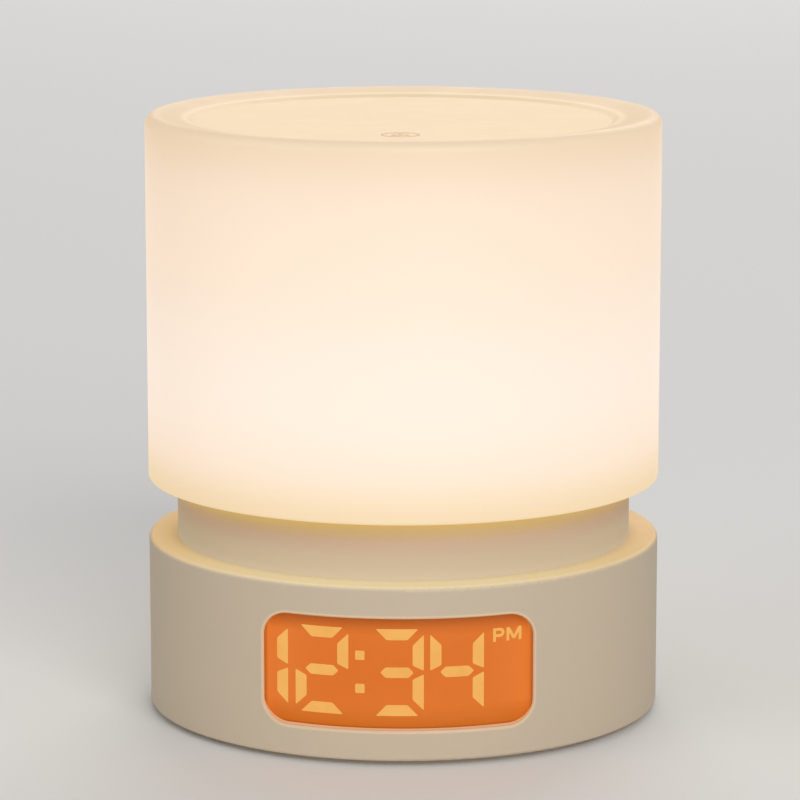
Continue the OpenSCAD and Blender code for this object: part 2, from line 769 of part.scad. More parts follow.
module battery_springs() {
  color([0.8, 0.8, 0.8]) for (i = [0:2])
    translate([(i == 1 ? 1 : -1) * (cell_l / 2 + 0.4), cell_y[i], cell_z])
      rotate([0, i == 1 ? 90 : -90, 0]) coil(0.3, 2.9, 2.5, 2.5);
}

module battery_plates() {
  xo = bay_hx - 0.05;
  color([0.82, 0.81, 0.78]) for (i = [0:2]) {
    s = i == 1 ? 1 : -1;
    box([s > 0 ? xo - 0.4 : -xo, cell_y[i] - 4.4, cell_z - 4.2],
      [s > 0 ? xo : 0.4 - xo, cell_y[i] + 4.4, cell_z + 4.6]);
    box([s > 0 ? -xo : xo - 0.4, cell_y[i] - 4.4, cell_z - 4.2],
      [s > 0 ? 0.4 - xo : xo, cell_y[i] + 4.4, cell_z + 4.6]);
    translate([-s * (cell_l / 2 + 0.1), cell_y[i], cell_z]) rotate([0, -s * 90, 0])
      cylinder(r = 2.2, h = bay_hx - cell_l / 2 - 0.2);
  }
}

// ---------- rear controls ----------

module control_board() {
  color([0.1, 0.35, 0.2]) difference() {
    box([-cb_hx, cb_y - board_t, pan_z + cb_z[0] - 2],
      [cb_hx, cb_y, pan_z + cb_z[1] + 2]);
    for (x = [-1, 1], z = cb_z)
      translate([x * cb_x, cb_y - 3, pan_z + z]) rotate([-90, 0, 0])
        cylinder(r = hole_r - 0.2, h = 5);
  }
}

module control_board_screws() {
  color([0.75, 0.75, 0.76]) for (x = [-1, 1], z = cb_z)
    translate([x * cb_x, cb_y - board_t, pan_z + z]) rotate([90, 0, 0]) {
      translate([0, 0, -6]) cylinder(r = screw_r - 0.3, h = 6);
      cylinder(r = 1.9, h = 1.3);
    }
}

module at_button(i) {
  translate([(i - 1.5) * button_pitch, 0, btn_z]) rotate([-90, 0, 0]) children();
}

module switch_bodies() {
  color([0.15, 0.15, 0.16]) for (i = [0:3]) difference() {
    translate([(i - 1.5) * button_pitch - 3, cb_y, btn_z - 3])
      cube([6, cap_back - button_travel - 0.1 - cb_y, 6]);
    at_button(i) translate([0, 0, cap_back - button_travel - 2.4])
      cylinder(r = 2, h = 9);
  }
}

module plunger(i) {
  color([0.85, 0.4, 0.3]) at_button(i)
    translate([0, 0, cap_back - 2]) cylinder(r = 1.7, h = 1.9);
}

module button(i) {
  color([0.7, 0.63, 0.54]) at_button(i) {
    translate([0, 0, cap_back]) cylinder(r = btn_r + 0.8, h = 1.2);
    translate([0, 0, cap_back + e]) difference() {
      cylinder(r = btn_r, h = pan_y + 1.2 - cap_back);
      translate([0, 0, pan_y + 1.2 - cap_back]) rotate_extrude()
        translate([btn_r, 0]) mirror([1, 0]) difference() {
          translate([-1, -0.4]) square([1.4, 1]);
          translate([0.4, -0.4]) circle(0.4);
          translate([0.4, -1]) square(2);
        }
    }
  }
}

module alarm_switch_body() {
  color([0.15, 0.15, 0.16]) difference() {
    box([sw_x - 5, cb_y, low_z - 2.4], [sw_x + 5, pan_in - 2.2, low_z + 2.4]);
    box([sw_x - switch_travel / 2 - 1.2 - run_gap, pan_in - 4.2, low_z - 1.4],
      [sw_x + switch_travel / 2 + 1.2 + run_gap, pan_in, low_z + 1.4]);
  }
}

module alarm_switch_knob() {
  x0 = sw_x - switch_travel / 2;
  color([0.9, 0.88, 0.84]) difference() {
    box([x0 - 1.2, pan_in - 3.9, low_z - 1.1], [x0 + 1.2, pan_y + 1.4, low_z + 1.1]);
    for (i = [-1:1]) box([x0 + i * 0.8 - 0.15, pan_y + 1.1, low_z - 2],
      [x0 + i * 0.8 + 0.15, pan_y + 2, low_z + 2]);
  }
}

module socket_shell() {
  color([0.75, 0.75, 0.76]) translate([usb_x, 0, low_z]) {
    along_y(cb_y, cb_y + 0.8) rrect(socket_w, socket_h, socket_h / 2 - e);
    along_y(cb_y + 0.7, pan_y - 0.2) difference() {
      rrect(socket_w, socket_h, socket_h / 2 - e);
      rrect(socket_w - 0.6, socket_h - 0.6, socket_h / 2 - 0.3 - e);
    }
  }
}

module socket_tongue() {
  color([0.1, 0.1, 0.1]) translate([usb_x, 0, low_z])
    box([-3.3, cb_y + 0.8, -0.35], [3.3, pan_y - 1.2, 0.35]);
}

// ---------- what is drawn ----------

shade();
touch_electrode();
touch_lead();
reflector();
lamp_leds();
led_board();
led_board_screws();
lamp_floor();
lamp_floor_screws();
lamp_cable();
cable_plugs();
neck_collar();
collar_screws();
base_shell();
display_lens();
light_wells();
display_board();
display_leds();
display_screws();
main_board();
main_board_screws();
board_chips();
capacitors();
cable_sockets();
flat_cables();
speaker_frame();
speaker_cone();
speaker_magnet();
inner_leads();
bottom_cover();
cover_screws();
rubber_feet();
battery_door();
battery_cells();
battery_springs();
battery_plates();
control_board();
control_board_screws();
switch_bodies();
button(0);  // clock_button
button(1);  // alarm_button
button(2);  // minus_button
button(3);  // plus_button
plunger(0);  // clock_plunger
plunger(1);  // alarm_plunger
plunger(2);  // minus_plunger
plunger(3);  // plus_plunger
alarm_switch_body();
alarm_switch_knob();
socket_shell();
socket_tongue();
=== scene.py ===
"""Looks of the sunrise alarm clock: finishes for every solid of the frame, and the fine trim round them."""
import logging
import math
from dataclasses import dataclass, field
from enum import Enum
from typing import Callable, Optional, Sequence

import bmesh
import bpy
from mathutils import Matrix, Vector


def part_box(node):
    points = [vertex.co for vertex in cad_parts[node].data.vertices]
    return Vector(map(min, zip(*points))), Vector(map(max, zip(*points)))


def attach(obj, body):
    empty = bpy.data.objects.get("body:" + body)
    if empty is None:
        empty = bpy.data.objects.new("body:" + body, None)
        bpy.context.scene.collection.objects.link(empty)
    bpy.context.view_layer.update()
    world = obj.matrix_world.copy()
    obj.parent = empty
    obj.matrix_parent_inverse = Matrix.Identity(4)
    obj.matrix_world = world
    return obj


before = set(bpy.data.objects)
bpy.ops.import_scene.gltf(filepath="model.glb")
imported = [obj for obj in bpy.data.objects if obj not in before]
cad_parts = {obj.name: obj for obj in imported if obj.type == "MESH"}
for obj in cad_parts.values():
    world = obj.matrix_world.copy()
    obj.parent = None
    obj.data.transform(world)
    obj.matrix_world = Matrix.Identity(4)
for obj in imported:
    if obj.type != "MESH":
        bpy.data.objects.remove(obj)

LOG = logging.getLogger("sunrise_clock")
MM = 0.001
# edges that bend more than this stay sharp
SHARP = math.radians(38)
# a stroke's corner reaches out by no more than its half-width over this
LEAST_MITRE = 0.72
Colour = tuple[float, float, float]
Point = tuple[float, float]
Span = tuple[float, float]
Place = tuple[float, float, float]
Mesh = bmesh.types.BMesh
Material = bpy.types.Material
Socket = bpy.types.NodeSocket
Sockets = dict[str, Socket]


def lin(*display: int) -> Colour:
    """The linear colour that a shader takes, from display values of 0 to 255."""
    parts = [value / 255 for value in display]
    return tuple(part / 12.92 if part <= 0.04045 else ((part + 0.055) / 1.055) ** 2.4 for part in parts)


def corners(name: str) -> tuple[Place, ...]:
    """The lowest and the highest corner of a solid, to a hundredth of a millimetre."""
    return tuple(tuple(round(value, 5) for value in corner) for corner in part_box(name))


def middle(name: str) -> Place:
    """The middle of a solid's box, to a hundredth of a millimetre."""
    return tuple(round((a + b) / 2, 5) for a, b in zip(*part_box(name)))


@dataclass(frozen=True)
class Sizes:
    """The clock's main sizes, in metres, read off its solids. The lens laps the window all round."""

    body_r: float
    neck_r: float
    shelf_z: float
    shade_z0: float
    top_z: float
    lens_r: float
    window_w: float
    window_h: float
    window_z: float
    cell_l: float
    window_r: float = 5.4 * MM

    @classmethod
    def from_frame(cls, lap_x: float = 1.4 * MM, lap_z: float = 1.6 * MM) -> "Sizes":
        """Reads the sizes.

        Args:
            lap_x: how far the lens laps the window at each side.
            lap_z: how far it laps the window above and below.

        Returns:
            The sizes.
        """
        lens, neck, shade = corners("display_lens"), corners("neck_collar"), corners("shade")
        return cls(body_r=corners("base_shell")[1][0], neck_r=neck[1][0], shelf_z=neck[0][2],
                   shade_z0=shade[0][2], top_z=shade[1][2], lens_r=-lens[0][1],
                   window_w=lens[1][0] - lens[0][0] - 2 * lap_x, window_h=lens[1][2] - lens[0][2] - 2 * lap_z,
                   window_z=(lens[0][2] + lens[1][2]) / 2, cell_l=2 * corners("battery_cells")[1][0])


# ---------------------------------------------------------------- node tools


class Net:
    """A short way to write a node tree."""

    def __init__(self, tree: bpy.types.NodeTree) -> None:
        """Keeps the tree that the nodes go into."""
        self.tree = tree

    def put(self, socket: Socket, value: object) -> None:
        """Links an output to a socket, or sets the socket's own value.

        Args:
            socket: the input.
            value: an output socket, a number or a colour.
        """
        if isinstance(value, Socket):
            self.tree.links.new(value, socket)
        elif isinstance(value, tuple) and len(value) == 3 and socket.type == "RGBA":
            socket.default_value = (*value, 1.0)
        else:
            socket.default_value = value

    def add(self, kind: str, inputs: Optional[dict[object, object]] = None,
            **props: object) -> bpy.types.Node:
        """Adds one node.

        Args:
            kind: the node's type name.
            inputs: input name or index to value or output socket.
            props: the node's own settings.

        Returns:
            The new node.
        """
        node = self.tree.nodes.new(kind)
        for key, value in props.items():
            setattr(node, key, value)
        for key, value in (inputs or {}).items():
            self.put(node.inputs[key], value)
        return node

    def math(self, operation: str, a: object, b: object = 0.0, clamp: bool = False) -> Socket:
        """One Math node on a and b, its result kept from 0 to 1 if clamped."""
        return self.add("ShaderNodeMath", {0: a, 1: b}, operation=operation, use_clamp=clamp).outputs[0]

    def plus(self, a: object, b: object) -> Socket:
        """The sum of two values."""
        return self.math("ADD", a, b)

    def minus(self, a: object, b: object) -> Socket:
        """What is left of a without b."""
        return self.math("SUBTRACT", a, b)

    def times(self, a: object, b: object) -> Socket:
        """The product of two values."""
        return self.math("MULTIPLY", a, b)

    def absolute(self, a: object) -> Socket:
        """A value without its sign."""
        return self.math("ABSOLUTE", a)

    def hypot(self, a: Socket, b: Socket) -> Socket:
        """Length of the line across two square sides."""
        return self.math("SQRT", self.plus(self.times(a, a), self.times(b, b)))

    def mix(self, factor: object, a: object, b: object, blend: str = "MIX") -> Socket:
        """One colour mix.

        Args:
            factor: share of b.
            a: first colour.
            b: second colour.
            blend: its blend type.

        Returns:
            The mixed colour.
        """
        node = self.add("ShaderNodeMix", {"Factor": factor}, data_type="RGBA", blend_type=blend)
        self.put(node.inputs[6], a)
        self.put(node.inputs[7], b)
        return node.outputs[2]

    def ramp(self, factor: object, stops: Sequence[tuple[float, Colour]]) -> Socket:
        """A colour ramp, smooth between its stops.

        Args:
            factor: where on the ramp.
            stops: places and colours, in order.

        Returns:
            The ramp's colour.
        """
        node = self.add("ShaderNodeValToRGB", {"Fac": factor})
        ramp = node.color_ramp
        ramp.interpolation = "B_SPLINE"
        ramp.elements[0].position, ramp.elements[0].color = stops[0][0], (*stops[0][1], 1)
        ramp.elements[1].position, ramp.elements[1].color = stops[-1][0], (*stops[-1][1], 1)
        for place, colour in stops[1:-1]:
            ramp.elements.new(place).color = (*colour, 1)
        return node.outputs[0]

    def span(self, value: object, low: float, high: float, to_low: float = 0.0,
             to_high: float = 1.0) -> Socket:
        """Maps a value from between low and high to between to_low and to_high, clamped."""
        return self.add("ShaderNodeMapRange", {0: value, 1: low, 2: high, 3: to_low, 4: to_high}).outputs[0]

    def noise(self, where: Socket, scale: object, detail: float = 2.0, **more: float) -> Socket:
        """The value of a noise texture, most of it within MIDDLE."""
        inputs = {"Vector": where, "Scale": scale, "Detail": detail, **more}
        return self.add("ShaderNodeTexNoise", inputs).outputs[0]

    def facing_up(self) -> Socket:
        """How far the surface faces up, from -1 to 1."""
        normal = self.add("ShaderNodeNewGeometry").outputs["Normal"]
        return self.add("ShaderNodeSeparateXYZ", {0: normal}).outputs[2]


MIDDLE = (0.3, 0.7)


@dataclass(frozen=True)
class Group:
    """A node group, built when it is first used: what it gives, its inputs and what fills it."""

    name: str
    gives: str
    inputs: dict[str, object]
    fill: Callable[[Net, Sockets], Socket]

    def kind(self, value: object) -> str:
        """The socket type for a value: four numbers make a colour."""
        return "NodeSocketColor" if isinstance(value, tuple) else "NodeSocketFloat"

    def tree(self) -> bpy.types.NodeTree:
        """Finds or builds the group.

        Returns:
            The group's tree.
        """
        if self.name in bpy.data.node_groups:
            return bpy.data.node_groups[self.name]
        tree = bpy.data.node_groups.new(self.name, "ShaderNodeTree")
        add = tree.interface.new_socket
        add("Vector", in_out="INPUT", socket_type="NodeSocketVector")
        for label, value in self.inputs.items():
            add(label, in_out="INPUT", socket_type=self.kind(value)).default_value = value
        add(self.gives, in_out="OUTPUT", socket_type=self.kind(self.inputs.get(self.gives)))
        net = Net(tree)
        source = net.add("NodeGroupInput").outputs
        put = {label: source[label] for label in ("Vector", *self.inputs)}
        net.add("NodeGroupOutput", {self.gives: self.fill(net, put)})
        return tree


def fill_grain(net: Net, put: Sockets) -> Socket:
    """The spark-eroded texture of a moulding: fine pits over a slow swell.

    Args:
        net: the group's net.
        put: its inputs.

    Returns:
        The height.
    """
    fine = net.noise(put["Vector"], put["Scale"], Roughness=0.6)
    pits = net.add("ShaderNodeTexVoronoi", {"Vector": put["Vector"], "Scale": net.times(put["Scale"], 0.7)},
                   feature="SMOOTH_F1").outputs[0]
    height = net.plus(net.times(fine, 0.6), net.times(pits, 0.4))
    return net.plus(height, net.times(net.noise(put["Vector"], 45.0, 1.0), put["Swell"]))


def fill_drift(net: Net, put: Sockets) -> Socket:
    """Slow change of colour over a surface.

    Args:
        net: the group's net.
        put: its inputs.

    Returns:
        The colour.
    """
    broad = net.noise(put["Vector"], 28.0, 3.0, Roughness=0.55)
    fine = net.noise(put["Vector"], 900.0, 1.0)
    both = net.plus(net.times(broad, 0.75), net.times(fine, 0.25))
    share = net.times(net.span(both, *MIDDLE), put["Amount"])
    return net.mix(share, put["Color"], put["Tint"], "MULTIPLY")


def fill_marks(net: Net, put: Sockets) -> Socket:
    """Faint marks of handling: soft smudges and a few fine rubs that change the gloss.

    Args:
        net: the group's net.
        put: its inputs.

    Returns:
        The roughness.
    """
    smudge = net.noise(put["Vector"], 60.0, 4.0, Distortion=1.2)
    stretch = net.add("ShaderNodeMapping", {"Vector": put["Vector"], "Rotation": (0.4, 0.2, 0.7),
                                            "Scale": (90.0, 1400.0, 700.0)})
    rub_and_highlight = net.noise(stretch.outputs[0], 1.0)
    change = net.plus(net.span(smudge, 0.45, 0.7, 0.0, -1.0), net.span(rub_and_highlight, 0.62, 0.75, 0.0, 0.8))
    return net.math("ADD", put["Roughness"], net.times(change, put["Amount"]), clamp=True)


def fill_dust(net: Net, put: Sockets) -> Socket:
    """A thin film of dust on what faces up.

    Args:
        net: the group's net.
        put: its inputs.

    Returns:
        The colour.
    """
    flecks = net.span(net.noise(put["Vector"], 1600.0), 0.45, 0.75)
    share = net.times(net.span(net.facing_up(), 0.5, 1.0), flecks)
    return net.mix(net.times(share, put["Amount"]), put["Color"], DUST)


GREY = (0.8, 0.8, 0.8, 1)
GRAIN = Group("moulded_grain", "Height", {"Scale": 2600.0, "Swell": 0.5}, fill_grain)
DRIFT = Group("colour_drift", "Color", {"Color": GREY, "Tint": (0.8, 0.78, 0.75, 1), "Amount": 0.3},
              fill_drift)
MARKS = Group("handling_marks", "Roughness", {"Roughness": 0.5, "Amount": 0.08}, fill_marks)
DUST_FILM = Group("dust_film", "Color", {"Color": GREY, "Amount": 0.1}, fill_dust)


# ---------------------------------------------------------------- colours and glows


BODY = lin(194, 178, 155)
# painted shade: the base's own plastic, painted darker on the neck under the overhanging shade
NECK_SHADED = lin(180, 156, 134)
# painted highlight along the display window's rounded edge
EDGE_HIGHLIGHT = lin(214, 188, 154)
COVER = lin(184, 168, 146)
DUST = (0.72, 0.69, 0.64)
SHADE_BODY = (0.33, 0.312, 0.285)
LENS_BODY = (0.27, 0.07, 0.006)
GLOW_WALL = [(0.0, (0.59, 0.41, 0.18)), (0.036, (0.615, 0.43, 0.2)), (0.114, (0.69, 0.522, 0.385)),
             (0.268, (0.714, 0.585, 0.482)), (0.448, (0.694, 0.554, 0.45)), (0.577, (0.674, 0.524, 0.39)),
             (0.707, (0.684, 0.51, 0.365)), (0.835, (0.655, 0.487, 0.352)), (0.926, (0.6, 0.424, 0.26)),
             (1.0, (0.565, 0.375, 0.21))]
# the top's glow by radius; the brighter stops at 0.838 and 0.852 are a painted highlight along the dish's
# edge, and the dimmer stops just inside them are painted shade
GLOW_TOP = [(0.0, (0.485, 0.31, 0.095)), (0.6, (0.485, 0.31, 0.09)), (0.79, (0.475, 0.302, 0.088)),
            (0.806, (0.45, 0.288, 0.088)), (0.824, (0.44, 0.283, 0.088)), (0.838, (0.505, 0.342, 0.135)),
            (0.852, (0.505, 0.342, 0.135)), (0.868, (0.41, 0.236, 0.06)), (0.95, (0.41, 0.236, 0.065)),
            (1.0, (0.6, 0.43, 0.262))]
GLOW_CLOUD = (0.6, 0.45, 0.3)
UNDER_GLOW = (0.8, 0.62, 0.36)
# painted light: the lens's orange light on the window's reveal, and the shade's light on the shelf, deeper
# orange towards the rear
REVEAL_SPILL = (0.355, 0.155, 0.068)
SHELF_SPILL = (0.30, 0.26, 0.125)
SHELF_FAR = (0.26, 0.13, 0.0)
# painted light: the neck's colour close under the shade, where the shade lights it
NECK_LIT_TOP = lin(184, 156, 108)
NECK_SPILL = [(0.0, (0.19, 0.20, 0.14)), (0.15, (0.12, 0.14, 0.085)), (0.38, (0.11, 0.11, 0.06)),
              (0.54, (0.09, 0.055, 0.035)),
              (0.7, (0.10, 0.06, 0.012)), (0.85, (0.21, 0.145, 0.02)), (1.0, (0.38, 0.25, 0.045))]
LENS_GLOW = [(0.0, (0.42, 0.09, 0.012)), (0.6, (0.44, 0.095, 0.013)), (0.85, (0.49, 0.12, 0.02)),
             (1.0, (0.53, 0.15, 0.03))]
# painted shade on the lens under the window's top edge, at its sides and at its bottom
LENS_SHADE = (0.14, 0.02, 0.001)
LENS_LOW_SHADE = (0.30, 0.07, 0.004)
LENS_WARM = (0.50, 0.13, 0.02)


# ---------------------------------------------------------------- finishes


class Sheen(Enum):
    """How a moulding's surface is finished, as roughness."""

    MATT = 0.62
    SATIN = 0.42
    GLOSS = 0.16


class Bench:
    """Starts a material: its net, its coordinates and its Principled shader."""

    def __init__(self, name: str) -> None:
        """Makes the material with an empty Principled shader.

        Args:
            name: the material's name.
        """
        self.material = bpy.data.materials.new(name)
        self.material.use_nodes = True
        tree = self.material.node_tree
        tree.nodes.clear()
        self.net = Net(tree)
        self.shader = self.net.add("ShaderNodeBsdfPrincipled")
        self.output = self.net.add("ShaderNodeOutputMaterial", {0: self.shader.outputs[0]})
        self.where = self.net.add("ShaderNodeTexCoord").outputs["Object"]

    def set(self, **inputs: object) -> None:
        """Sets the shader's inputs; an underscore stands for a space."""
        for key, value in inputs.items():
            self.net.put(self.shader.inputs[key.replace("_", " ")], value)

    def shine(self, colour: object) -> None:
        """Lets the surface glow in a colour."""
        self.set(Emission_Color=colour, Emission_Strength=1.0)

    def use(self, group: Group, **inputs: object) -> Socket:
        """Places a group with its own values.

        Args:
            group: the group.
            inputs: input name to value, apart from Vector.

        Returns:
            The group's output.
        """
        node = self.net.add("ShaderNodeGroup", node_tree=group.tree())
        for key, value in {"Vector": self.where, **inputs}.items():
            self.net.put(node.inputs[key], value)
        return node.outputs[0]

    def drifted(self, colour: object, tint: Colour, amount: float) -> Socket:
        """A colour that drifts slowly towards its product with a tint."""
        return self.use(DRIFT, Color=colour, Tint=tint, Amount=amount)

    def marked(self, roughness: object, amount: float) -> Socket:
        """Roughness with the marks of handling on it."""
        return self.use(MARKS, Roughness=roughness, Amount=amount)

    def bump(self, height: Socket, strength: float, distance: float) -> None:
        """Feeds the normal from a height, whose bump is as deep as the distance, in metres."""
        node = self.net.add("ShaderNodeBump", {"Strength": strength, "Distance": distance, "Height": height})
        self.set(Normal=node.outputs[0])

    def axes(self) -> tuple[Socket, ...]:
        """X, Y and Z of the point, in metres."""
        return tuple(self.net.add("ShaderNodeSeparateXYZ", {0: self.where}).outputs)

    def radius(self) -> Socket:
        """Distance from the clock's axis, in metres."""
        x, y, _ = self.axes()
        return self.net.hypot(x, y)


@dataclass(frozen=True)
class Finish:
    """A finish by its name. Each kind paints the material in its own way."""

    name: str

    def build(self) -> Material:
        """Makes the material.

        Returns:
            The material.
        """
        bench = Bench(self.name)
        self.paint(bench)
        return bench.material

    def paint(self, bench: Bench) -> None:
        """Sets the shader's inputs.

        Args:
            bench: the material's bench.
        """
        raise NotImplementedError


@dataclass(frozen=True)
class Plastic(Finish):
    """A moulded plastic with its grain, drift of colour, handling marks and dust."""

    colour: Colour
    sheen: Sheen = Sheen.MATT
    grain: float = 0.25
    grain_scale: float = 2600.0
    grain_deep: float = 0.04 * MM
    drift: float = 0.25
    marks: float = 0.06
    dust: float = 0.08
    coat: float = 0.0
    glow: Optional[Colour] = None
    subsurface: float = 0.0
    bleed: float = 2 * MM
    ior: float = 1.47
    tint_low: float = 0.82
    tint_rise: float = 0.1

    def paint(self, bench: Bench) -> None:
        """Colour, gloss and grain, then what a special plastic adds.

        Args:
            bench: the material's bench.
        """
        tint = tuple(min(1.0, self.tint_low + self.tint_rise * part) for part in self.colour)
        colour = bench.use(DUST_FILM, Color=bench.drifted(self.colour, tint, self.drift), Amount=self.dust)
        bench.set(Base_Color=self.tone(bench, colour), Roughness=bench.marked(self.sheen.value, self.marks),
                  IOR=self.ior, Coat_Weight=self.coat)
        bench.bump(bench.use(GRAIN, Scale=self.grain_scale), self.grain, self.grain_deep)
        if self.subsurface:
            bench.set(Subsurface_Weight=self.subsurface, Subsurface_Scale=self.bleed)
        self.light(bench)

    def tone(self, bench: Bench, colour: Socket) -> Socket:
        """The colour as it is; a special plastic paints light into it in places."""
        return colour

    def light(self, bench: Bench) -> None:
        """Lets the plastic glow evenly, where it is lit from behind."""
        if self.glow:
            bench.shine(self.glow)


@dataclass(frozen=True)
class ShellPlastic(Plastic):
    """The base's plastic, with a painted highlight along the window's edge and warm painted light where the
    lens and the shade light it.
    """

    sizes: Sizes = field(kw_only=True)
    # the painted highlight: how far outside the window's edge it lies, its width and its strength
    highlight_at: float = 0.12 * MM
    rub_and_highlight: Span = (0.1 * MM, 0.38 * MM)
    highlight_share: float = 0.55
    reveal_edge: Span = (0.1 * MM, 0.35 * MM)
    reveal_deep: Span = (3.4 * MM, 0.1 * MM)
    reveal_share: float = 0.35
    shelf_deep: Span = (1.2 * MM, 0.2 * MM)
    foot_w: float = 2.2 * MM
    foot_share: float = 0.6
    shelf_up: Span = (0.2, 0.9)
    spill_y: Span = (-50 * MM, -5 * MM)

    def from_window(self, bench: Bench) -> Socket:
        """Distance outside the window's outline, seen from the front.

        Args:
            bench: the material's bench.

        Returns:
            The distance in metres, large on the back half.
        """
        net, s = bench.net, self.sizes
        x, y, z = bench.axes()
        u, v = (net.math("MAXIMUM", net.minus(net.absolute(way), half - s.window_r), 0.0)
                for way, half in ((x, s.window_w / 2), (net.minus(z, s.window_z), s.window_h / 2)))
        return net.plus(net.minus(net.hypot(u, v), s.window_r), net.math("GREATER_THAN", y, 0.0))

    def tone(self, bench: Bench, colour: Socket) -> Socket:
        """A painted highlight: a paler line along the window's edge.

        Args:
            bench: the material's bench.
            colour: the plastic's colour.

        Returns:
            The colour to paint.
        """
        net = bench.net
        far = net.absolute(net.minus(self.from_window(bench), self.highlight_at))
        return net.mix(net.span(far, *self.rub_and_highlight, self.highlight_share, 0.0), colour, EDGE_HIGHLIGHT)

    def light(self, bench: Bench) -> None:
        """Orange light from the lens on the window's reveal, cream light from the shade on the shelf.

        Args:
            bench: the material's bench.
        """
        net, s = bench.net, self.sizes
        inside = net.span(self.from_window(bench), *self.reveal_edge, 1.0, 0.0)
        deep = net.span(bench.radius(), *(s.body_r - d for d in self.reveal_deep), 1.0, self.reveal_share)
        reveal = net.mix(net.times(inside, deep), (0.0, 0.0, 0.0), REVEAL_SPILL)
        shelf = net.times(net.span(net.facing_up(), *self.shelf_up),
                          net.span(bench.axes()[2], *(s.shelf_z - d for d in self.shelf_deep)))
        # painted shade: the shelf's painted light is dimmer at the neck's foot, and deeper orange towards the
        # rear
        foot = net.span(bench.radius(), s.neck_r, s.neck_r + self.foot_w, self.foot_share, 1.0)
        spill = net.mix(net.span(bench.axes()[1], *self.spill_y), SHELF_SPILL, SHELF_FAR)
        bench.shine(net.mix(net.times(shelf, foot), reveal, spill))


@dataclass(frozen=True)
class NeckPlastic(Plastic):
    """The neck's plastic, lit by the shade over it."""

    sizes: Sizes = field(kw_only=True)
    yellow: Span = (0.6, 0.95)

    def height(self, bench: Bench) -> Socket:
        """Height on the neck, from 0 at the shelf to 1 at the shade."""
        return bench.net.span(bench.axes()[2], self.sizes.shelf_z, self.sizes.shade_z0)

    def tone(self, bench: Bench, colour: Socket) -> Socket:
        """Painted light: a yellower colour close under the shade, where it lights the neck."""
        return bench.net.mix(bench.net.span(self.height(bench), *self.yellow), colour, NECK_LIT_TOP)

    def light(self, bench: Bench) -> None:
        """Warm light that fades down the neck."""
        bench.shine(bench.net.ramp(self.height(bench), NECK_SPILL))


@dataclass(frozen=True)
class Metal(Finish):
    """A metal with drawn or turned lines and slight tarnish."""

    colour: Colour
    roughness: float = 0.3
    lines: Place = (300.0, 300.0, 2500.0)
    tarnish: float = 0.25
    tarnish_dark: float = 0.7
    uneven: Span = (-0.08, 0.1)
    line_deep: float = 0.03 * MM

    def paint(self, bench: Bench) -> None:
        """Tarnish on the colour, lines in the gloss and the bump.

        Args:
            bench: the material's bench.
        """
        net = bench.net
        dark = tuple(part * self.tarnish_dark for part in self.colour)
        stretch = net.add("ShaderNodeMapping", {"Vector": bench.where, "Scale": self.lines})
        lines = net.noise(stretch.outputs[0], 1.0, 4.0)
        rough = net.span(lines, *MIDDLE, *(self.roughness + more for more in self.uneven))
        bench.set(Base_Color=bench.drifted(self.colour, dark, self.tarnish), Metallic=1.0,
                  Roughness=bench.marked(rough, 0.08))
        bench.bump(lines, 0.15, self.line_deep)


@dataclass(frozen=True)
class Board(Finish):
    """A coated circuit board: tracks under the coat, and pale printed marks."""

    coat: Colour
    track: Colour
    ink: Colour = (0.75, 0.75, 0.72)
    pitch: float = 620.0
    track_edge: Span = (0.55, 0.6)
    gap_edge: Span = (0.35, 0.4)
    pad_edge: Span = (0.1, 0.13)
    track_deep: float = 0.04 * MM

    def paint(self, bench: Bench) -> None:
        """Bands cut by cells make tracks, and cell middles make pads.

        Args:
            bench: the material's bench.
        """
        net = bench.net
        cells = net.add("ShaderNodeTexVoronoi",
                        {"Vector": bench.where, "Scale": self.pitch, "Randomness": 0.55},
                        distance="MANHATTAN", feature="F1")
        bands = net.add("ShaderNodeTexWave",
                        {"Vector": bench.where, "Scale": self.pitch * 0.35, "Distortion": 6.0, "Detail": 0.0},
                        wave_type="BANDS")
        tracks = net.times(net.span(bands.outputs[1], *self.track_edge),
                           net.span(cells.outputs[0], *self.gap_edge, 1.0, 0.0))
        dots = net.add("ShaderNodeTexVoronoi",
                       {"Vector": bench.where, "Scale": self.pitch * 0.5, "Randomness": 1.0}, feature="F1")
        pads = net.span(dots.outputs[0], *self.pad_edge, 1.0, 0.0)
        colour = net.mix(pads, net.mix(tracks, self.coat, self.track), self.ink)
        bench.set(Base_Color=bench.drifted(colour, (0.85, 0.88, 0.85), 0.3),
                  Roughness=bench.marked(0.3, 0.06), Coat_Weight=0.3)
        bench.bump(net.plus(tracks, pads), 0.4, self.track_deep)


@dataclass(frozen=True)
class OpalShade(Finish):
    """The lit opal shade: its glow changes with height and towards the rim of the top."""

    sizes: Sizes
    bend: Span = (3 * MM, 1.2 * MM)
    under: float = 2 * MM
    under_down: Span = (-0.999, -0.96)

    def paint(self, bench: Bench) -> None:
        """The wall's glow, the top's glow over the bend, and the flat underside's own.

        Args:
            bench: the material's bench.
        """
        net, s = bench.net, self.sizes
        z = bench.axes()[2]
        wall = net.ramp(net.span(z, s.shade_z0, s.top_z), GLOW_WALL)
        top = net.ramp(net.span(bench.radius(), 0.0, s.body_r), GLOW_TOP)
        glow = net.mix(net.span(z, *(s.top_z - below for below in self.bend)), wall, top)
        cloud = net.span(net.noise(bench.where, 14.0, 1.0), *MIDDLE, 0.0, 0.05)
        glow = net.mix(cloud, glow, GLOW_CLOUD)
        down = net.times(net.span(net.facing_up(), *self.under_down, 1.0, 0.0),
                         net.span(z, s.shade_z0, s.shade_z0 + self.under, 1.0, 0.0))
        bench.shine(net.mix(down, glow, UNDER_GLOW))
        bench.set(Base_Color=bench.drifted(SHADE_BODY, (0.97, 0.95, 0.92), 0.3),
                  Roughness=bench.marked(0.45, 0.05), Specular_IOR_Level=0.25)
        bench.bump(bench.use(GRAIN, Scale=1800.0, Swell=0.2), 0.12, 0.03 * MM)


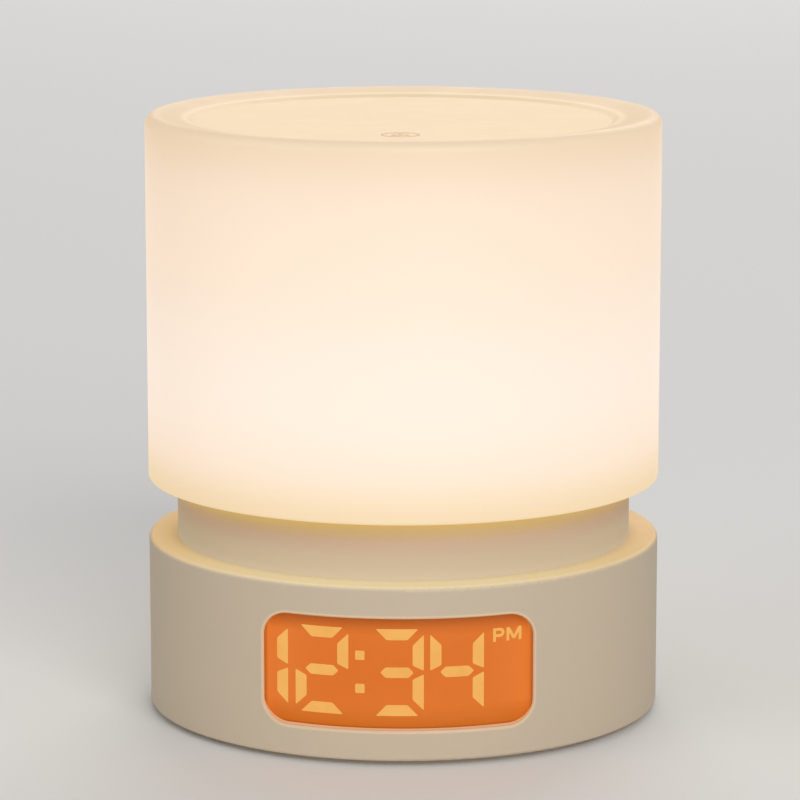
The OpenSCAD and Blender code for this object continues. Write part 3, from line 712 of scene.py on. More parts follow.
@dataclass(frozen=True)
class LitLens(Finish):
    """The orange display lens, lit from behind and dimmer towards its edges."""

    sizes: Sizes
    top_shade: Span = (0.62, 0.98)
    low_shade: Span = (-0.6, -1.0)
    edge_shade: Span = (0.962, 1.0)

    def paint(self, bench: Bench) -> None:
        """Glow by the distance from the window's middle, then the shade of its edges.

        Args:
            bench: the material's bench.
        """
        net, s = bench.net, self.sizes
        x, _, z = bench.axes()
        u = net.math("DIVIDE", net.absolute(x), s.window_w / 2)
        v = net.math("DIVIDE", net.minus(z, s.window_z), s.window_h / 2)
        edge = net.math("MAXIMUM", u, net.absolute(v))
        glow = net.ramp(net.span(edge, 0.0, 1.0), LENS_GLOW)
        cloud = net.span(net.noise(bench.where, 70.0), *MIDDLE, 0.0, 0.25)
        glow = net.mix(cloud, glow, LENS_WARM)
        # painted shade of the window's recess under its top edge, at its bottom and at its sides, where less
        # light also comes past the wells' ends
        for value, shade, colour in ((v, self.top_shade, LENS_SHADE), (v, self.low_shade, LENS_LOW_SHADE),
                                     (edge, self.edge_shade, LENS_SHADE)):
            glow = net.mix(net.span(value, *shade), glow, colour)
        bench.shine(glow)
        bench.set(Base_Color=LENS_BODY, Roughness=bench.marked(0.36, 0.06), Specular_IOR_Level=0.2)
        bench.bump(bench.use(GRAIN, Scale=3200.0, Swell=0.1), 0.08, 0.02 * MM)


@dataclass(frozen=True)
class WrappedCell(Finish):
    """A cell's printed sleeve with its bright metal ends."""

    sizes: Sizes
    metal_l: float = 1.6 * MM
    band_l: float = 11 * MM
    blend: float = 0.1 * MM
    sleeve: Colour = (0.03, 0.035, 0.05)
    band: Colour = (0.5, 0.23, 0.06)
    metal: Colour = (0.62, 0.61, 0.58)

    def paint(self, bench: Bench) -> None:
        """Dark sleeve, orange band and bare metal, by the distance from the cell's middle.

        Args:
            bench: the material's bench.
        """
        net = bench.net
        far = net.absolute(bench.axes()[0])
        end = self.sizes.cell_l / 2 - self.metal_l
        metal = net.span(far, end, end + self.blend)
        band = net.span(far, end - self.band_l, end - self.band_l + self.blend)
        sleeve = net.mix(band, self.sleeve, self.band)
        bench.set(Base_Color=net.mix(metal, sleeve, self.metal), Metallic=metal,
                  Roughness=bench.marked(0.3, 0.1), Coat_Weight=0.2)
        bench.bump(bench.use(GRAIN, Scale=900.0), 0.05, 0.03 * MM)


@dataclass(frozen=True)
class GlowInk(Finish):
    """A lit shape seen through the lens, with a slightly uneven light."""

    colour: Colour
    edge: Colour
    unlit: Colour = (0.12, 0.06, 0.015)

    def paint(self, bench: Bench) -> None:
        """Two close colours in soft patches.

        Args:
            bench: the material's bench.
        """
        net = bench.net
        bench.shine(net.mix(net.span(net.noise(bench.where, 240.0), 0.35, 0.7), self.colour, self.edge))
        bench.set(Base_Color=self.unlit, Roughness=bench.marked(0.4, 0.05), Specular_IOR_Level=0.2)


class Rack:
    """Every finish of the clock, made once and looked up by name."""

    def __init__(self, sizes: Sizes) -> None:
        """Builds all the finishes.

        Args:
            sizes: the clock's sizes.
        """
        matt, satin, gloss = Sheen.MATT, Sheen.SATIN, Sheen.GLOSS
        finishes = [
            ShellPlastic("body_sand", BODY, matt, grain=0.3, drift=0.2, subsurface=0.05, sizes=sizes),
            NeckPlastic("neck_sand", NECK_SHADED, matt, grain=0.3, drift=0.2, sizes=sizes),
            # a painted highlight: the window's rounded edge, paler than the base
            Plastic("edge_highlight_sand", EDGE_HIGHLIGHT, satin, grain=0.1, drift=0.1),
            Plastic("cover_sand", COVER, matt, grain=0.45, grain_scale=1900.0),
            Plastic("white_moulding", (0.78, 0.77, 0.74), matt, grain=0.2),
            Plastic("lamp_floor_white", (0.78, 0.72, 0.62), matt, grain=0.2, glow=(0.42, 0.28, 0.11)),
            Plastic("reflector_white", (0.86, 0.85, 0.82), satin, grain=0.1, glow=(0.3, 0.24, 0.16)),
            Plastic("light_package", (0.82, 0.62, 0.2), satin, grain=0.3, grain_scale=5200.0,
                    glow=(0.55, 0.36, 0.12)),
            Plastic("light_well_white", (0.8, 0.8, 0.78), matt, grain=0.3, grain_scale=3400.0),
            Plastic("black_moulding", (0.022, 0.022, 0.024), matt, grain=0.4, dust=0.14),
            Plastic("chip_epoxy", (0.03, 0.03, 0.032), matt, grain=0.6, grain_scale=4200.0, dust=0.05),
            Plastic("can_sleeve", (0.03, 0.05, 0.14), gloss, grain=0.05, marks=0.1),
            Plastic("foot_rubber", (0.035, 0.034, 0.034), matt, grain=0.7, grain_scale=1500.0, dust=0.3),
            Plastic("wire_red", (0.42, 0.03, 0.02), satin, grain=0.1, grain_scale=900.0),
            Plastic("wire_black", (0.025, 0.025, 0.027), satin, grain=0.1, grain_scale=900.0),
            Plastic("flat_cable_grey", (0.55, 0.56, 0.6), satin, grain=0.2, grain_scale=800.0),
            Plastic("speaker_paper", (0.07, 0.065, 0.06), matt, grain=0.9, grain_scale=1500.0, dust=0.2),
            Plastic("plunger_red", (0.4, 0.05, 0.03), satin, grain=0.15),
            Plastic("knob_cream", (0.68, 0.64, 0.56), satin, grain=0.2),
            Plastic("mark_ink", (0.10, 0.085, 0.07), satin, grain=0.1, dust=0.02),
            Plastic("touch_ink", (0.36, 0.20, 0.10), satin, grain=0.1, dust=0.02, glow=(0.24, 0.125, 0.055)),
            Plastic("plate_silver", (0.5, 0.5, 0.49), satin, grain=0.12, coat=0.4),
            Plastic("lamp_board_white", (0.8, 0.8, 0.77), satin, grain=0.1, drift=0.15),
            Metal("screw_steel", (0.6, 0.6, 0.61), 0.28, (900.0, 900.0, 900.0)),
            Metal("plated_steel", (0.66, 0.65, 0.63), 0.22, (1800.0, 300.0, 300.0)),
            Metal("nickel", (0.7, 0.68, 0.62), 0.24, (600.0, 600.0, 600.0)),
            Metal("magnet_grey", (0.42, 0.42, 0.43), 0.42, (400.0, 400.0, 400.0), 0.5),
            Metal("foil", (0.86, 0.84, 0.8), 0.2, (200.0, 900.0, 200.0), 0.15),
            Metal("solder", (0.68, 0.68, 0.66), 0.18, (1200.0, 1200.0, 1200.0), 0.1),
            Board("green_board", (0.012, 0.09, 0.035), (0.03, 0.16, 0.06)),
            OpalShade("opal_shade", sizes),
            LitLens("display_lens_orange", sizes),
            WrappedCell("cell_wrap", sizes),
            GlowInk("digit_light", lin(227, 168, 88), lin(222, 160, 78)),
        ]
        self.made = {finish.name: finish.build() for finish in finishes}

    def __getitem__(self, name: str) -> Material:
        """The finish of that name."""
        return self.made[name]


# ---------------------------------------------------------------- mesh tools


def prism(mesh: Mesh, outline: Sequence[Point], depth: float, place: Matrix, bevel: float = 0.0) -> None:
    """Adds a flat plate with the given outline.

    Args:
        mesh: where it goes.
        outline: its corners in order, in its own X and Y.
        depth: its thickness, along its own +Z.
        place: where it stands.
        bevel: width of the rounded edge round its face.
    """
    low, high = ([mesh.verts.new(place @ Vector((x, y, z))) for x, y in outline] for z in (0.0, depth))
    mesh.faces.new(low[::-1])
    top = mesh.faces.new(high)
    for i in range(len(outline)):
        mesh.faces.new((low[i - 1], low[i], high[i], high[i - 1]))
    if bevel:
        bmesh.ops.bevel(mesh, geom=list(top.edges), offset=bevel, segments=2, profile=0.5, affect="EDGES")


def stroke(points: Sequence[Point], width: float, closed: bool = False) -> list[list[Point]]:
    """Outlines of a pen stroke along some points, one four-cornered piece for each step.

    Args:
        points: where the pen goes.
        width: its width.
        closed: join the last point to the first.

    Returns:
        The outlines.
    """
    path = [Vector(p) for p in points]
    count = len(path)

    def side(i: int) -> Vector:
        """Half the stroke's width at a point, square to it and mitred.

        Args:
            i: the point.

        Returns:
            The way to the stroke's edge.
        """
        dirs = []
        if closed or i > 0:
            dirs.append((path[i] - path[i - 1]).normalized())
        if closed or i < count - 1:
            dirs.append((path[(i + 1) % count] - path[i]).normalized())
        mean = sum(dirs, Vector((0.0, 0.0))).normalized()
        square = Vector((-mean.y, mean.x))
        edge = Vector((-dirs[0].y, dirs[0].x))
        return square * (width / 2 / max(LEAST_MITRE, square.dot(edge)))
    rails = [(tuple(p + side(i)), tuple(p - side(i))) for i, p in enumerate(path)]
    ends = rails[1:] + rails[:1] if closed else rails[1:]
    return [[left, right, far_right, far_left] for (left, right), (far_left, far_right) in zip(rails, ends)]


def arc(cx: float, cy: float, radius: float, start: float, end: float, steps: int) -> list[Point]:
    """Points along an arc about (cx, cy), from the start angle to the end angle in degrees."""
    turns = [math.radians(start + (end - start) * i / steps) for i in range(steps + 1)]
    return [(cx + radius * math.cos(turn), cy + radius * math.sin(turn)) for turn in turns]


def circle(radius: float, steps: int) -> list[Point]:
    """Points of a whole circle about the origin."""
    return arc(0, 0, radius, 0, 360, steps)[:-1]


def round_box(width: float, height: float, radius: float, steps: int) -> list[Point]:
    """Corners of a rounded rectangle about the origin.

    Args:
        width: its width.
        height: its height.
        radius: its corner radius.
        steps: steps in each corner.

    Returns:
        The points, anticlockwise.
    """
    a, b = width / 2 - radius, height / 2 - radius
    bends = ((a, b, 0), (-a, b, 90), (-a, -b, 180), (a, -b, 270))
    return [point for cx, cy, start in bends for point in arc(cx, cy, radius, start, start + 90, steps)]


def lathe(mesh: Mesh, profile: Sequence[Point], place: Matrix, steps: int) -> None:
    """Adds a turned shape.

    Args:
        mesh: where it goes.
        profile: radius and height of each point, from the axis and back to it.
        place: where it stands.
        steps: steps round.
    """
    rings = []
    turns = [math.tau * i / steps for i in range(steps)]
    for radius, height in profile:
        points = [Vector((radius * math.cos(turn), radius * math.sin(turn), height)) for turn in turns]
        # on the axis, one point stands for the whole ring
        ring = [mesh.verts.new(place @ point) for point in (points if radius else points[:1])]
        rings.append(ring * (steps // len(ring)))
    for low, high in zip(rings, rings[1:]):
        for i in range(steps):
            j = (i + 1) % steps
            mesh.faces.new(dict.fromkeys((low[i], low[j], high[j], high[i])))


def ring_tube(mesh: Mesh, path: Sequence[Vector], radius: float, sides: int = 12) -> None:
    """Adds a round tube along a closed path.

    Args:
        mesh: where it goes.
        path: its centre line.
        radius: its radius.
        sides: its sides.
    """
    rings = []
    up = Vector((0.13, 0.31, 0.94)).normalized()
    turns = [math.tau * k / sides for k in range(sides)]
    for i, point in enumerate(path):
        along = (path[(i + 1) % len(path)] - path[i - 1]).normalized()
        side = along.cross(up).normalized()
        up = side.cross(along)
        ways = [side * math.cos(turn) + up * math.sin(turn) for turn in turns]
        rings.append([mesh.verts.new(point + radius * way) for way in ways])
    # the last ring joins the first where its corners come closest, so that the tube isn't twisted
    start = min(range(sides), key=lambda k: (rings[-1][0].co - rings[0][k].co).length)
    rings.append(rings[0][start:] + rings[0][:start])
    for low, high in zip(rings, rings[1:]):
        for k in range(sides):
            mesh.faces.new((low[k], low[(k + 1) % sides], high[(k + 1) % sides], high[k]))


# ---------------------------------------------------------------- the clock


@dataclass
class Trim:
    """Fine parts that the solids leave out. Each kind builds its own pieces."""

    sizes: Sizes
    rack: Rack

    def piece(self, name: str, mesh: Mesh, finish: str, body: str = "base", smooth: bool = True) -> None:
        """Turns a mesh into a piece that rides on a body.

        Args:
            name: the piece's name.
            mesh: its mesh, in metres in the clock's frame.
            finish: its finish.
            body: the body it moves with.
            smooth: shade it smooth, with sharp edges kept.
        """
        bmesh.ops.recalc_face_normals(mesh, faces=mesh.faces[:])
        if smooth:
            for face in mesh.faces:
                face.smooth = True
            for edge in mesh.edges:
                edge.smooth = len(edge.link_faces) == 2 and edge.calc_face_angle(0.0) < SHARP
        data = bpy.data.meshes.new(name)
        mesh.to_mesh(data)
        mesh.free()
        data.materials.append(self.rack[finish])
        piece = bpy.data.objects.new(name, data)
        bpy.context.scene.collection.objects.link(piece)
        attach(piece, body)
        LOG.info("%s: %d faces on %s", name, len(data.polygons), body)

    def build(self) -> None:
        """Makes the pieces."""
        raise NotImplementedError


@dataclass
class Display(Trim):
    """The lit time on the lens, and the window's edge."""

    digit_w: float = 11 * MM
    digit_h: float = 18.3 * MM
    bar: float = 2.3 * MM
    waist_out: float = 0.38 * MM
    waist_in: float = 1.5 * MM
    tip: float = 0.05 * MM
    mitre: float = 0.1 * MM
    mid_short: float = 0.9 * MM
    mid_half: float = 1.1 * MM
    centre_z: float = 19.15 * MM
    corner: float = 0.28 * MM
    proud: float = 0.07 * MM
    sunk: float = 0.05 * MM
    bend_step: float = 0.6 * MM
    least_step: float = 0.1 * MM
    digits: tuple[tuple[float, str], ...] = (
        (-28.3 * MM, "ur lr"),
        (-15.7 * MM, "top ur mid ll bottom"),
        (-0.2 * MM, "top ur mid lr bottom"),
        (12.1 * MM, "ul ur mid lr"),
    )
    colon_x: float = -7.83 * MM
    colon_z: float = 3.5 * MM
    colon_w: float = 1.94 * MM
    mark_x: float = 22.35 * MM
    mark_z: float = 26.2 * MM
    mark_line: float = 0.58 * MM
    bead_r: float = 0.4 * MM
    bead_deep: float = 0.45 * MM
    bead_lap: float = 0.1 * MM
    bead_step: float = 2.2 * MM

    def bars(self) -> dict[str, list[Point]]:
        """Outlines of a digit's seven bars.

        Returns:
            Bar name to outline, about the digit's centre.
        """
        t = self.bar
        a, b = (self.digit_w - t) / 2, (self.digit_h - t) / 2
        shapes = {}
        for name, s, v in (("ur", 1, 1), ("lr", 1, -1), ("ul", -1, 1), ("ll", -1, -1)):
            out, back = s * (a + t / 2), s * (a - t / 2)
            shapes[name] = [(out, v * self.waist_out), (out, v * (b - self.tip)), (back, v * (b - t)),
                            (back, v * self.waist_in)]
        short = a - t + self.mitre
        for name, v in (("top", 1), ("bottom", -1)):
            high, low = v * (b + t / 2), v * (b - t / 2)
            shapes[name] = [(-a, high), (a, high), (short, low), (-short, low)]
        m, k = a - self.mid_short, self.mid_half
        shapes["mid"] = [(-m, 0.0), (k - m, k), (m - k, k), (m, 0.0), (m - k, -k), (k - m, -k)]
        return shapes

    def on_lens(self, name: str, outlines: Sequence[Sequence[Point]], corner: float) -> None:
        """Lays flat outlines on the lens's curved face as thin lit skins.

        Args:
            name: the piece's name.
            outlines: corners in X and Z, in metres.
            corner: how far corners are rounded.
        """
        mesh = bmesh.new()
        for outline in outlines:
            part = bmesh.new()
            part.faces.new([part.verts.new((x, 0.0, z)) for x, z in outline])
            if corner:
                bmesh.ops.bevel(part, geom=part.verts[:], offset=corner, segments=3, profile=0.5,
                                affect="VERTICES")
            cut = min(v.co.x for v in part.verts) + self.bend_step
            high = max(v.co.x for v in part.verts) - self.least_step
            while cut < high:
                bmesh.ops.bisect_plane(part, geom=part.verts[:] + part.edges[:] + part.faces[:],
                                       plane_co=(cut, 0, 0), plane_no=(1, 0, 0))
                cut += self.bend_step
            made = bmesh.ops.extrude_face_region(part, geom=part.faces[:])
            front = {v for v in made["geom"] if isinstance(v, bmesh.types.BMVert)}
            for vert in part.verts:
                radius = self.sizes.lens_r + (self.proud if vert in front else -self.sunk)
                vert.co.y = -math.sqrt(radius ** 2 - vert.co.x ** 2)
            data = bpy.data.meshes.new("part")
            part.to_mesh(data)
            part.free()
            mesh.from_mesh(data)
            bpy.data.meshes.remove(data)
        self.piece(name, mesh, "digit_light")

    def time(self) -> None:
        """The digits 12:34."""
        bars = self.bars()
        outlines = [[(x + u, self.centre_z + v) for u, v in bars[name]]
                    for x, names in self.digits for name in names.split()]
        half = self.colon_w / 2
        square = [(-half, -half), (half, -half), (half, half), (-half, half)]
        for z in (self.centre_z - self.colon_z, self.centre_z + self.colon_z):
            outlines.append([(self.colon_x + u, z + v) for u, v in square])
        self.on_lens("time_digits", outlines, self.corner)

    def half_day(self) -> None:
        """The small letters that tell afternoon from morning, drawn in millimetres."""
        width, foot, top = 5.2, -0.25, 2.3
        bowl = arc(1.1, 1.65, 0.65, 80, -80, 8)
        pens = (
            [(0.0, foot), (0.0, top), (1.1, top), *bowl, (1.1, 1.0), (0.25, 1.0)],
            [(2.75, foot), (2.75, top - foot)],
            [(2.9, top), (4.0, 0.2)],
            [(4.0, 0.2), (5.1, top)],
            [(5.25, foot), (5.25, top - foot)],
        )
        outlines = []
        for pen in pens:
            path = [(self.mark_x + (u - width / 2) * MM, self.mark_z + (v - top / 2) * MM) for u, v in pen]
            outlines += stroke(path, self.mark_line)
        self.on_lens("afternoon_mark", outlines, 0.0)

    def window_bead(self) -> None:
        """The fine rounded edge where the window breaks the base's wall."""
        s = self.sizes
        radius = s.body_r - self.bead_deep
        outline = round_box(s.window_w + self.bead_lap, s.window_h + self.bead_lap, s.window_r, 10)
        path = []
        for (x, z), (next_x, next_z) in zip(outline, outline[1:] + outline[:1]):
            steps = max(1, int(math.hypot(next_x - x, next_z - z) / self.bead_step))
            for i in range(steps):
                u, v = x + (next_x - x) * i / steps, z + (next_z - z) * i / steps
                path.append(Vector((u, -math.sqrt(radius ** 2 - u ** 2), s.window_z + v)))
        mesh = bmesh.new()
        ring_tube(mesh, path, self.bead_r)
        # the bead is painted paler than the base, as a highlight on the lit rounded edge
        self.piece("window_edge", mesh, "edge_highlight_sand")

    def build(self) -> None:
        """Makes the display's pieces."""
        self.time()
        self.half_day()
        self.window_bead()


@dataclass
class TouchTop(Trim):
    """The printed touch mark in the shade's dish: a ring, two arcs and a dot."""

    y: float = -28.5 * MM
    dish_deep: float = 1.6 * MM
    ring_r: float = 3.8 * MM
    ring_w: float = 0.5 * MM
    arc_r: float = 1.9 * MM
    arc_w: float = 0.45 * MM
    arc_starts: tuple[int, ...] = (25, 205)
    arc_turn: int = 130
    dot_r: float = 0.55 * MM
    ink: float = 0.06 * MM
    sunk: float = 0.02 * MM

    def build(self) -> None:
        """Makes the mark, its print a little proud of the dish."""
        mesh = bmesh.new()
        place = Matrix.Translation((0, self.y, self.sizes.top_z - self.dish_deep - self.sunk))
        outlines = stroke(circle(self.ring_r, 48), self.ring_w, closed=True)
        for start in self.arc_starts:
            outlines += stroke(arc(0, 0, self.arc_r, start, start + self.arc_turn, 20), self.arc_w)
        for outline in outlines:
            prism(mesh, outline, self.ink, place)
        lathe(mesh, [(0, 0.0), (self.dot_r, 0.0), (self.dot_r, self.ink), (0, self.ink)], place, 24)
        self.piece("touch_mark", mesh, "touch_ink", smooth=False)


@dataclass
class RearControls(Trim):
    """Printed signs by the rear controls, and the inlet's contacts. The signs are drawn in millimetres."""

    panel_deep: float = 4.0 * MM
    cap_out: float = 1.2 * MM
    ink: float = 0.05 * MM
    sunk: float = 0.01 * MM
    contacts_in_row: int = 12
    contact_pitch: float = 0.5 * MM
    contact_w: float = 0.26 * MM
    contact_l: float = 3.0 * MM
    contact_t: float = 0.03 * MM
    tongue_tip: float = 0.2 * MM

    def sign(self, name: str, body: str, outlines: Sequence[list[Point]], beside: str,
             out: float = 0.0) -> None:
        """One printed sign, drawn as the viewer at the rear sees it.

        Args:
            name: the piece's name.
            body: the body it moves with.
            outlines: its outlines in millimetres.
            beside: the solid that its drawing is centred on.
            out: how far its ground stands out of the panel.
        """
        x, _, z = middle(beside)
        turn = Matrix(((-1, 0, 0, 0), (0, 0, 1, 0), (0, 1, 0, 0), (0, 0, 0, 1)))
        place = Matrix.Translation((x, self.sizes.body_r - self.panel_deep + out - self.sunk, z)) @ turn
        mesh = bmesh.new()
        for outline in outlines:
            prism(mesh, [(u * MM, v * MM) for u, v in outline], self.ink, place)
        self.piece(name, mesh, "mark_ink", body, smooth=False)

    def bell(self, size: float, line: float) -> list[list[Point]]:
        """A bell about its own middle.

        Args:
            size: half its foot's width.
            line: its line's width.

        Returns:
            Its outlines.
        """
        waist, dome = size * 0.69, size * 0.65
        pen = [(-size, -0.7), (-waist, -0.3), *arc(0, 0.3, dome, 180, 0, 12), (waist, -0.3), (size, -0.7)]
        return stroke(pen, line, closed=True)

    def button_signs(self) -> None:
        """Clock face, bell, minus and plus on the button caps."""
        line, bold = 0.3, 0.39
        minus = stroke([(-1.2, 0), (1.2, 0)], bold)
        signs = {
            "clock": stroke(circle(1.5, 32), line, closed=True)
                     + stroke([(0, 0.95), (0, 0), (0.7, -0.4)], line),
            "alarm": self.bell(1.3, line) + stroke(arc(0, -0.75, 0.42, 190, 350, 6), line),
            "minus": minus,
            "plus": minus + stroke([(0, -1.2), (0, 1.2)], bold),
        }
        for name, outlines in signs.items():
            self.sign(f"{name}_button_mark", f"{name}_button", outlines, f"{name}_button", self.cap_out)

    def panel_signs(self) -> None:
        """A bell and the ends of travel by the switch, and the direct-current sign over the socket."""
        line, over, end = 0.28, 3.7, 4.9
        bell = [[(u, v + over) for u, v in outline] for outline in self.bell(1.1, line)]
        on = [[(u + end, v) for u, v in outline] for outline in stroke(circle(0.6, 20), line, closed=True)]
        off = stroke([(-end, -0.65), (-end, 0.65)], line)
        self.sign("switch_mark", "base", bell + on + off, "alarm_switch_body")
        current = stroke([(-2.2, 4.0), (2.2, 4.0)], line)
        for start, stop in ((-2.2, -0.9), (-0.4, 0.5), (1.0, 2.2)):
            current += stroke([(start, 3.2), (stop, 3.2)], line)
        self.sign("socket_mark", "base", current, "socket_shell")

    def contacts(self) -> None:
        """The two rows of contacts on the socket's tongue."""
        low, high = corners("socket_tongue")
        half = self.contact_w / 2
        outline = [(-half, 0.0), (half, 0.0), (half, self.contact_l), (-half, self.contact_l)]
        y = high[1] - self.tongue_tip - self.contact_l
        mesh = bmesh.new()
        for i in range(self.contacts_in_row):
            x = (low[0] + high[0]) / 2 + (i - (self.contacts_in_row - 1) / 2) * self.contact_pitch
            prism(mesh, outline, -self.contact_t, Matrix.Translation((x, y, low[2])))
            prism(mesh, outline, self.contact_t, Matrix.Translation((x, y, high[2])))
        self.piece("socket_contacts", mesh, "nickel", smooth=False)

    def build(self) -> None:
        """Makes all the rear signs and the contacts."""
        self.button_signs()
        self.panel_signs()
        self.contacts()


@dataclass
class Underside(Trim):
    """A bare rating plate and the battery door's arrow."""

    plate_y: float = -41.8 * MM
    plate_w: float = 30 * MM
    plate_l: float = 8 * MM
    plate_r: float = 1.2 * MM
    plate_t: float = 0.09 * MM
    plate_bevel: float = 0.03 * MM
    arrow_y: float = 22.0 * MM
    arrow_w: float = 4.8 * MM
    arrow_l: float = 3.2 * MM
    arrow_t: float = 0.16 * MM
    arrow_bevel: float = 0.06 * MM
    sunk: float = 0.01 * MM

    def below(self, y: float) -> Matrix:
        """A frame on the cover's underside: its Z points down."""
        cover_z = corners("bottom_cover")[0][2]
        return Matrix.Translation((0, y, cover_z + self.sunk)) @ Matrix.Rotation(math.pi, 4, "X")

    def build(self) -> None:
        """Makes the plate and the arrow."""
        mesh = bmesh.new()
        outline = round_box(self.plate_w, self.plate_l, self.plate_r, 6)
        prism(mesh, outline, self.plate_t, self.below(self.plate_y), self.plate_bevel)
        self.piece("bare_plate", mesh, "plate_silver")
        mesh = bmesh.new()
        u, v = self.arrow_w / 2, self.arrow_l / 2
        prism(mesh, [(-u, v), (0, -v), (u, v)], self.arrow_t, self.below(self.arrow_y), self.arrow_bevel)
        self.piece("door_arrow", mesh, "cover_sand", "battery_door")


@dataclass
class Electronics(Trim):
    """Fine parts on the main board, with their sizes in millimetres: chip legs and solder domes."""

    chips: tuple[tuple[float, ...], ...] = (
        (-14, -16, -5, -7),
        (9, -17, 14, -11),
        (10, 12, 15, 18),
        (-18, 4, -12, 8),
    )
    leg_pitch: float = 0.8
    leg_w: float = 0.32
    leg_t: float = 0.14
    leg: tuple[Point, ...] = ((0.0, 0.75), (0.35, 0.75), (0.6, 0.1), (1.1, 0.06))
    dome: tuple[Point, ...] = ((0, 0), (0.55, 0), (0.5, 0.12), (0.3, 0.36), (0.12, 0.55), (0, 0.58))
    dome_sunk: float = 0.05
    pin_pitch: float = 1.25
    pins_aside: int = 5
    pin_rows: tuple[float, ...] = (-26.6, 31.4)
    can_x: tuple[float, ...] = (-22, -18, 22)
    can_y: tuple[float, ...] = (-20, -6, 12, 18)

    def on_board(self, x: float, y: float, sunk: float = 0.0) -> Matrix:
        """A frame on the board's upper face, from places in millimetres."""
        return Matrix.Translation((x * MM, y * MM, corners("main_board")[1][2] - sunk * MM))

    def legs(self) -> None:
        """Bent legs along both sides of each chip."""
        mesh = bmesh.new()
        outlines = [[(x * MM, z * MM) for x, z in outline] for outline in stroke(self.leg, self.leg_t)]
        for x0, y0, x1, y1 in self.chips:
            count = int((y1 - y0) / self.leg_pitch)
            for i in range(count):
                y = y0 + (y1 - y0) * (i + 0.5) / count + self.leg_w / 2
                for x, way in ((x0, -1), (x1, 1)):
                    turn = Matrix(((way, 0, 0, 0), (0, 0, -1, 0), (0, 1, 0, 0), (0, 0, 0, 1)))
                    for outline in outlines:
                        prism(mesh, outline, self.leg_w * MM, self.on_board(x, y) @ turn)
        self.piece("chip_legs", mesh, "solder", smooth=False)

    def solder(self) -> None:
        """Small solder domes beside the sockets and cans."""
        mesh = bmesh.new()
        pins = range(-self.pins_aside, self.pins_aside + 1)
        spots = [(i * self.pin_pitch, y) for y in self.pin_rows for i in pins]
        spots += [(x, y) for x in self.can_x for y in self.can_y]
        profile = [(r * MM, z * MM) for r, z in self.dome]
        for x, y in spots:
            lathe(mesh, profile, self.on_board(x, y, self.dome_sunk), 14)
        self.piece("solder_joints", mesh, "solder")

    def build(self) -> None:
        """Makes the board's fine parts."""
        self.legs()
        self.solder()


NODE_FINISH = {
    "opal_shade": "shade",
    "foil": "touch_electrode touch_lead",
    "reflector_white": "reflector",
    "light_package": "lamp_leds display_leds",
    "lamp_board_white": "led_board",
    "screw_steel": "led_board_screws lamp_floor_screws collar_screws display_screws "
                   "main_board_screws cover_screws control_board_screws",
    "lamp_floor_white": "lamp_floor",
    "wire_red": "lamp_cable",
    "white_moulding": "cable_plugs cable_sockets",
    "body_sand": "base_shell",
    "neck_sand": "neck_collar",
    "display_lens_orange": "display_lens",
    "light_well_white": "light_wells",
    "green_board": "display_board main_board control_board",
    "chip_epoxy": "board_chips",
    "can_sleeve": "capacitors",
    "flat_cable_grey": "flat_cables",
    "black_moulding": "speaker_frame switch_bodies alarm_switch_body socket_tongue",
    "speaker_paper": "speaker_cone",
    "magnet_grey": "speaker_magnet",
    "wire_black": "inner_leads",
    "cover_sand": "bottom_cover battery_door clock_button alarm_button minus_button plus_button",
    "foot_rubber": "rubber_feet",
    "cell_wrap": "battery_cells",
    "nickel": "battery_springs battery_plates",
    "plunger_red": "clock_plunger alarm_plunger minus_plunger plus_plunger",
    "knob_cream": "alarm_switch_knob",
    "plated_steel": "socket_shell",
}


def dress(rack: Rack) -> None:
    """Gives every solid of the frame its finish.

    Args:
        rack: the finishes.
    """
    left = set(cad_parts)
    for finish, names in NODE_FINISH.items():
        for name in names.split():
            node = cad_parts[name]
            for slot in node.material_slots:
                slot.material = rack[finish]
            left.discard(name)
    if left:
        LOG.warning("no finish for %s", sorted(left))


# ---------------------------------------------------------------- studio


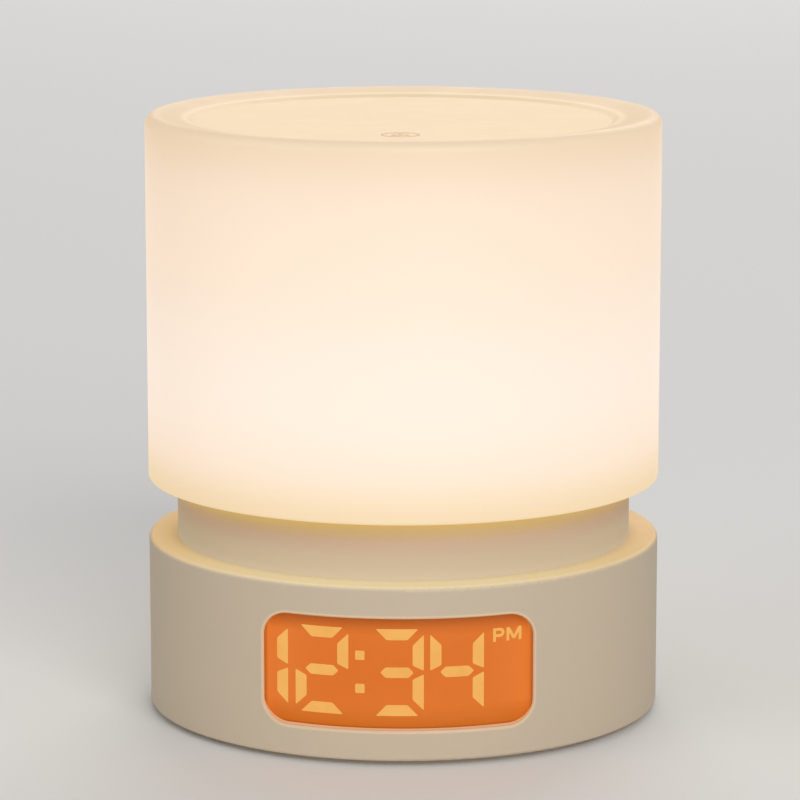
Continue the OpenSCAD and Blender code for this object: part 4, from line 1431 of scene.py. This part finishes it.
@dataclass
class Studio:
    """Floor, lights, world and the camera of the photograph, whose frame is 800 pixels square."""

    floor_colour: Colour = (0.80, 0.79, 0.77)
    floor_half: float = 9.0
    clear_r: float = 0.052
    lamps: tuple[tuple[str, Place, float, float], ...] = (
        ("key", (1.17, -3.61, 1.73), 2.6, 101.0),
        ("fill", (-2.7, -1.44, 1.1), 2.4, 18.5),
        ("back", (0.38, 3.2, 2.2), 2.6, 44.0),
        ("under", (0.0, 0.0, -0.9), 0.6, 2.6),
    )
    aim: Place = (0, 0, 0.06)
    world_grey: float = 0.9
    world_strength: float = 0.42
    frame_px: float = 800.0
    focal_px: float = 3868.42
    aside_px: float = -3.4
    sensor: float = 36.0
    distance: float = 0.8202
    height: float = 0.2190
    turn: float = math.radians(1.24)
    pitch: float = 0.18402

    def floor(self) -> None:
        """A plain pale floor that is clear from below."""
        mesh = bmesh.new()
        bmesh.ops.create_grid(mesh, x_segments=1, y_segments=1, size=self.floor_half)
        data = bpy.data.meshes.new("floor")
        mesh.to_mesh(data)
        mesh.free()
        floor = bpy.data.objects.new("floor", data)
        bpy.context.scene.collection.objects.link(floor)
        bench = Bench("pale_floor")
        net = bench.net
        bench.set(Base_Color=self.floor_colour, Roughness=0.8)
        # under the base, the lamp below the floor reaches the underside
        covered = net.math("LESS_THAN", bench.radius(), self.clear_r)
        to_lamp = net.times(net.add("ShaderNodeLightPath").outputs["Is Shadow Ray"], covered)
        clear = net.math("MAXIMUM", net.add("ShaderNodeNewGeometry").outputs["Backfacing"], to_lamp)
        both = net.add("ShaderNodeMixShader", {0: clear, 1: bench.shader.outputs[0],
                                               2: net.add("ShaderNodeBsdfTransparent").outputs[0]})
        net.put(bench.output.inputs[0], both.outputs[0])
        data.materials.append(bench.material)

    def lights(self) -> None:
        """A key from the right, a fill from the left, one behind, a weak one below, and an even world."""
        for name, place, size, watts in self.lamps:
            light = bpy.data.lights.new(name, "AREA")
            light.size, light.energy = size, watts
            lamp = bpy.data.objects.new(name, light)
            lamp.location = place
            lamp.rotation_euler = (Vector(self.aim) - Vector(place)).to_track_quat("-Z", "Y").to_euler()
            bpy.context.scene.collection.objects.link(lamp)
        world = bpy.data.worlds.new("studio")
        world.use_nodes = True
        sky = world.node_tree.nodes["Background"]
        sky.inputs[0].default_value = (self.world_grey, self.world_grey, self.world_grey, 1)
        sky.inputs[1].default_value = self.world_strength
        bpy.context.scene.world = world
        bpy.context.scene.view_settings.view_transform = "Standard"

    def camera(self) -> None:
        """The camera at the photograph's place."""
        data = bpy.data.cameras.new("camera")
        data.sensor_width = self.sensor
        data.lens = self.focal_px / self.frame_px * self.sensor
        data.shift_x = self.aside_px / self.frame_px
        data.clip_start, data.clip_end = 0.05, 50.0
        camera = bpy.data.objects.new("camera", data)
        camera.location = (self.distance * math.sin(self.turn), -self.distance * math.cos(self.turn),
                           self.height)
        camera.rotation_euler = (math.pi / 2 - self.pitch, 0.0, self.turn)
        bpy.context.scene.collection.objects.link(camera)
        bpy.context.scene.camera = camera

    def build(self) -> None:
        """Makes the studio."""
        self.floor()
        self.lights()
        self.camera()


def main() -> None:
    """Dresses the clock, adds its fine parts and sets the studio."""
    logging.basicConfig(level=logging.INFO, format="%(name)s %(message)s")
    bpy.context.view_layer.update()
    sizes = Sizes.from_frame()
    rack = Rack(sizes)
    dress(rack)
    trims = (kind(sizes, rack) for kind in (Display, TouchTop, RearControls, Underside, Electronics))
    for part in (*trims, Studio()):
        part.build()
        LOG.info("%s done", type(part).__name__)


if __name__ == "__main__":
    main()
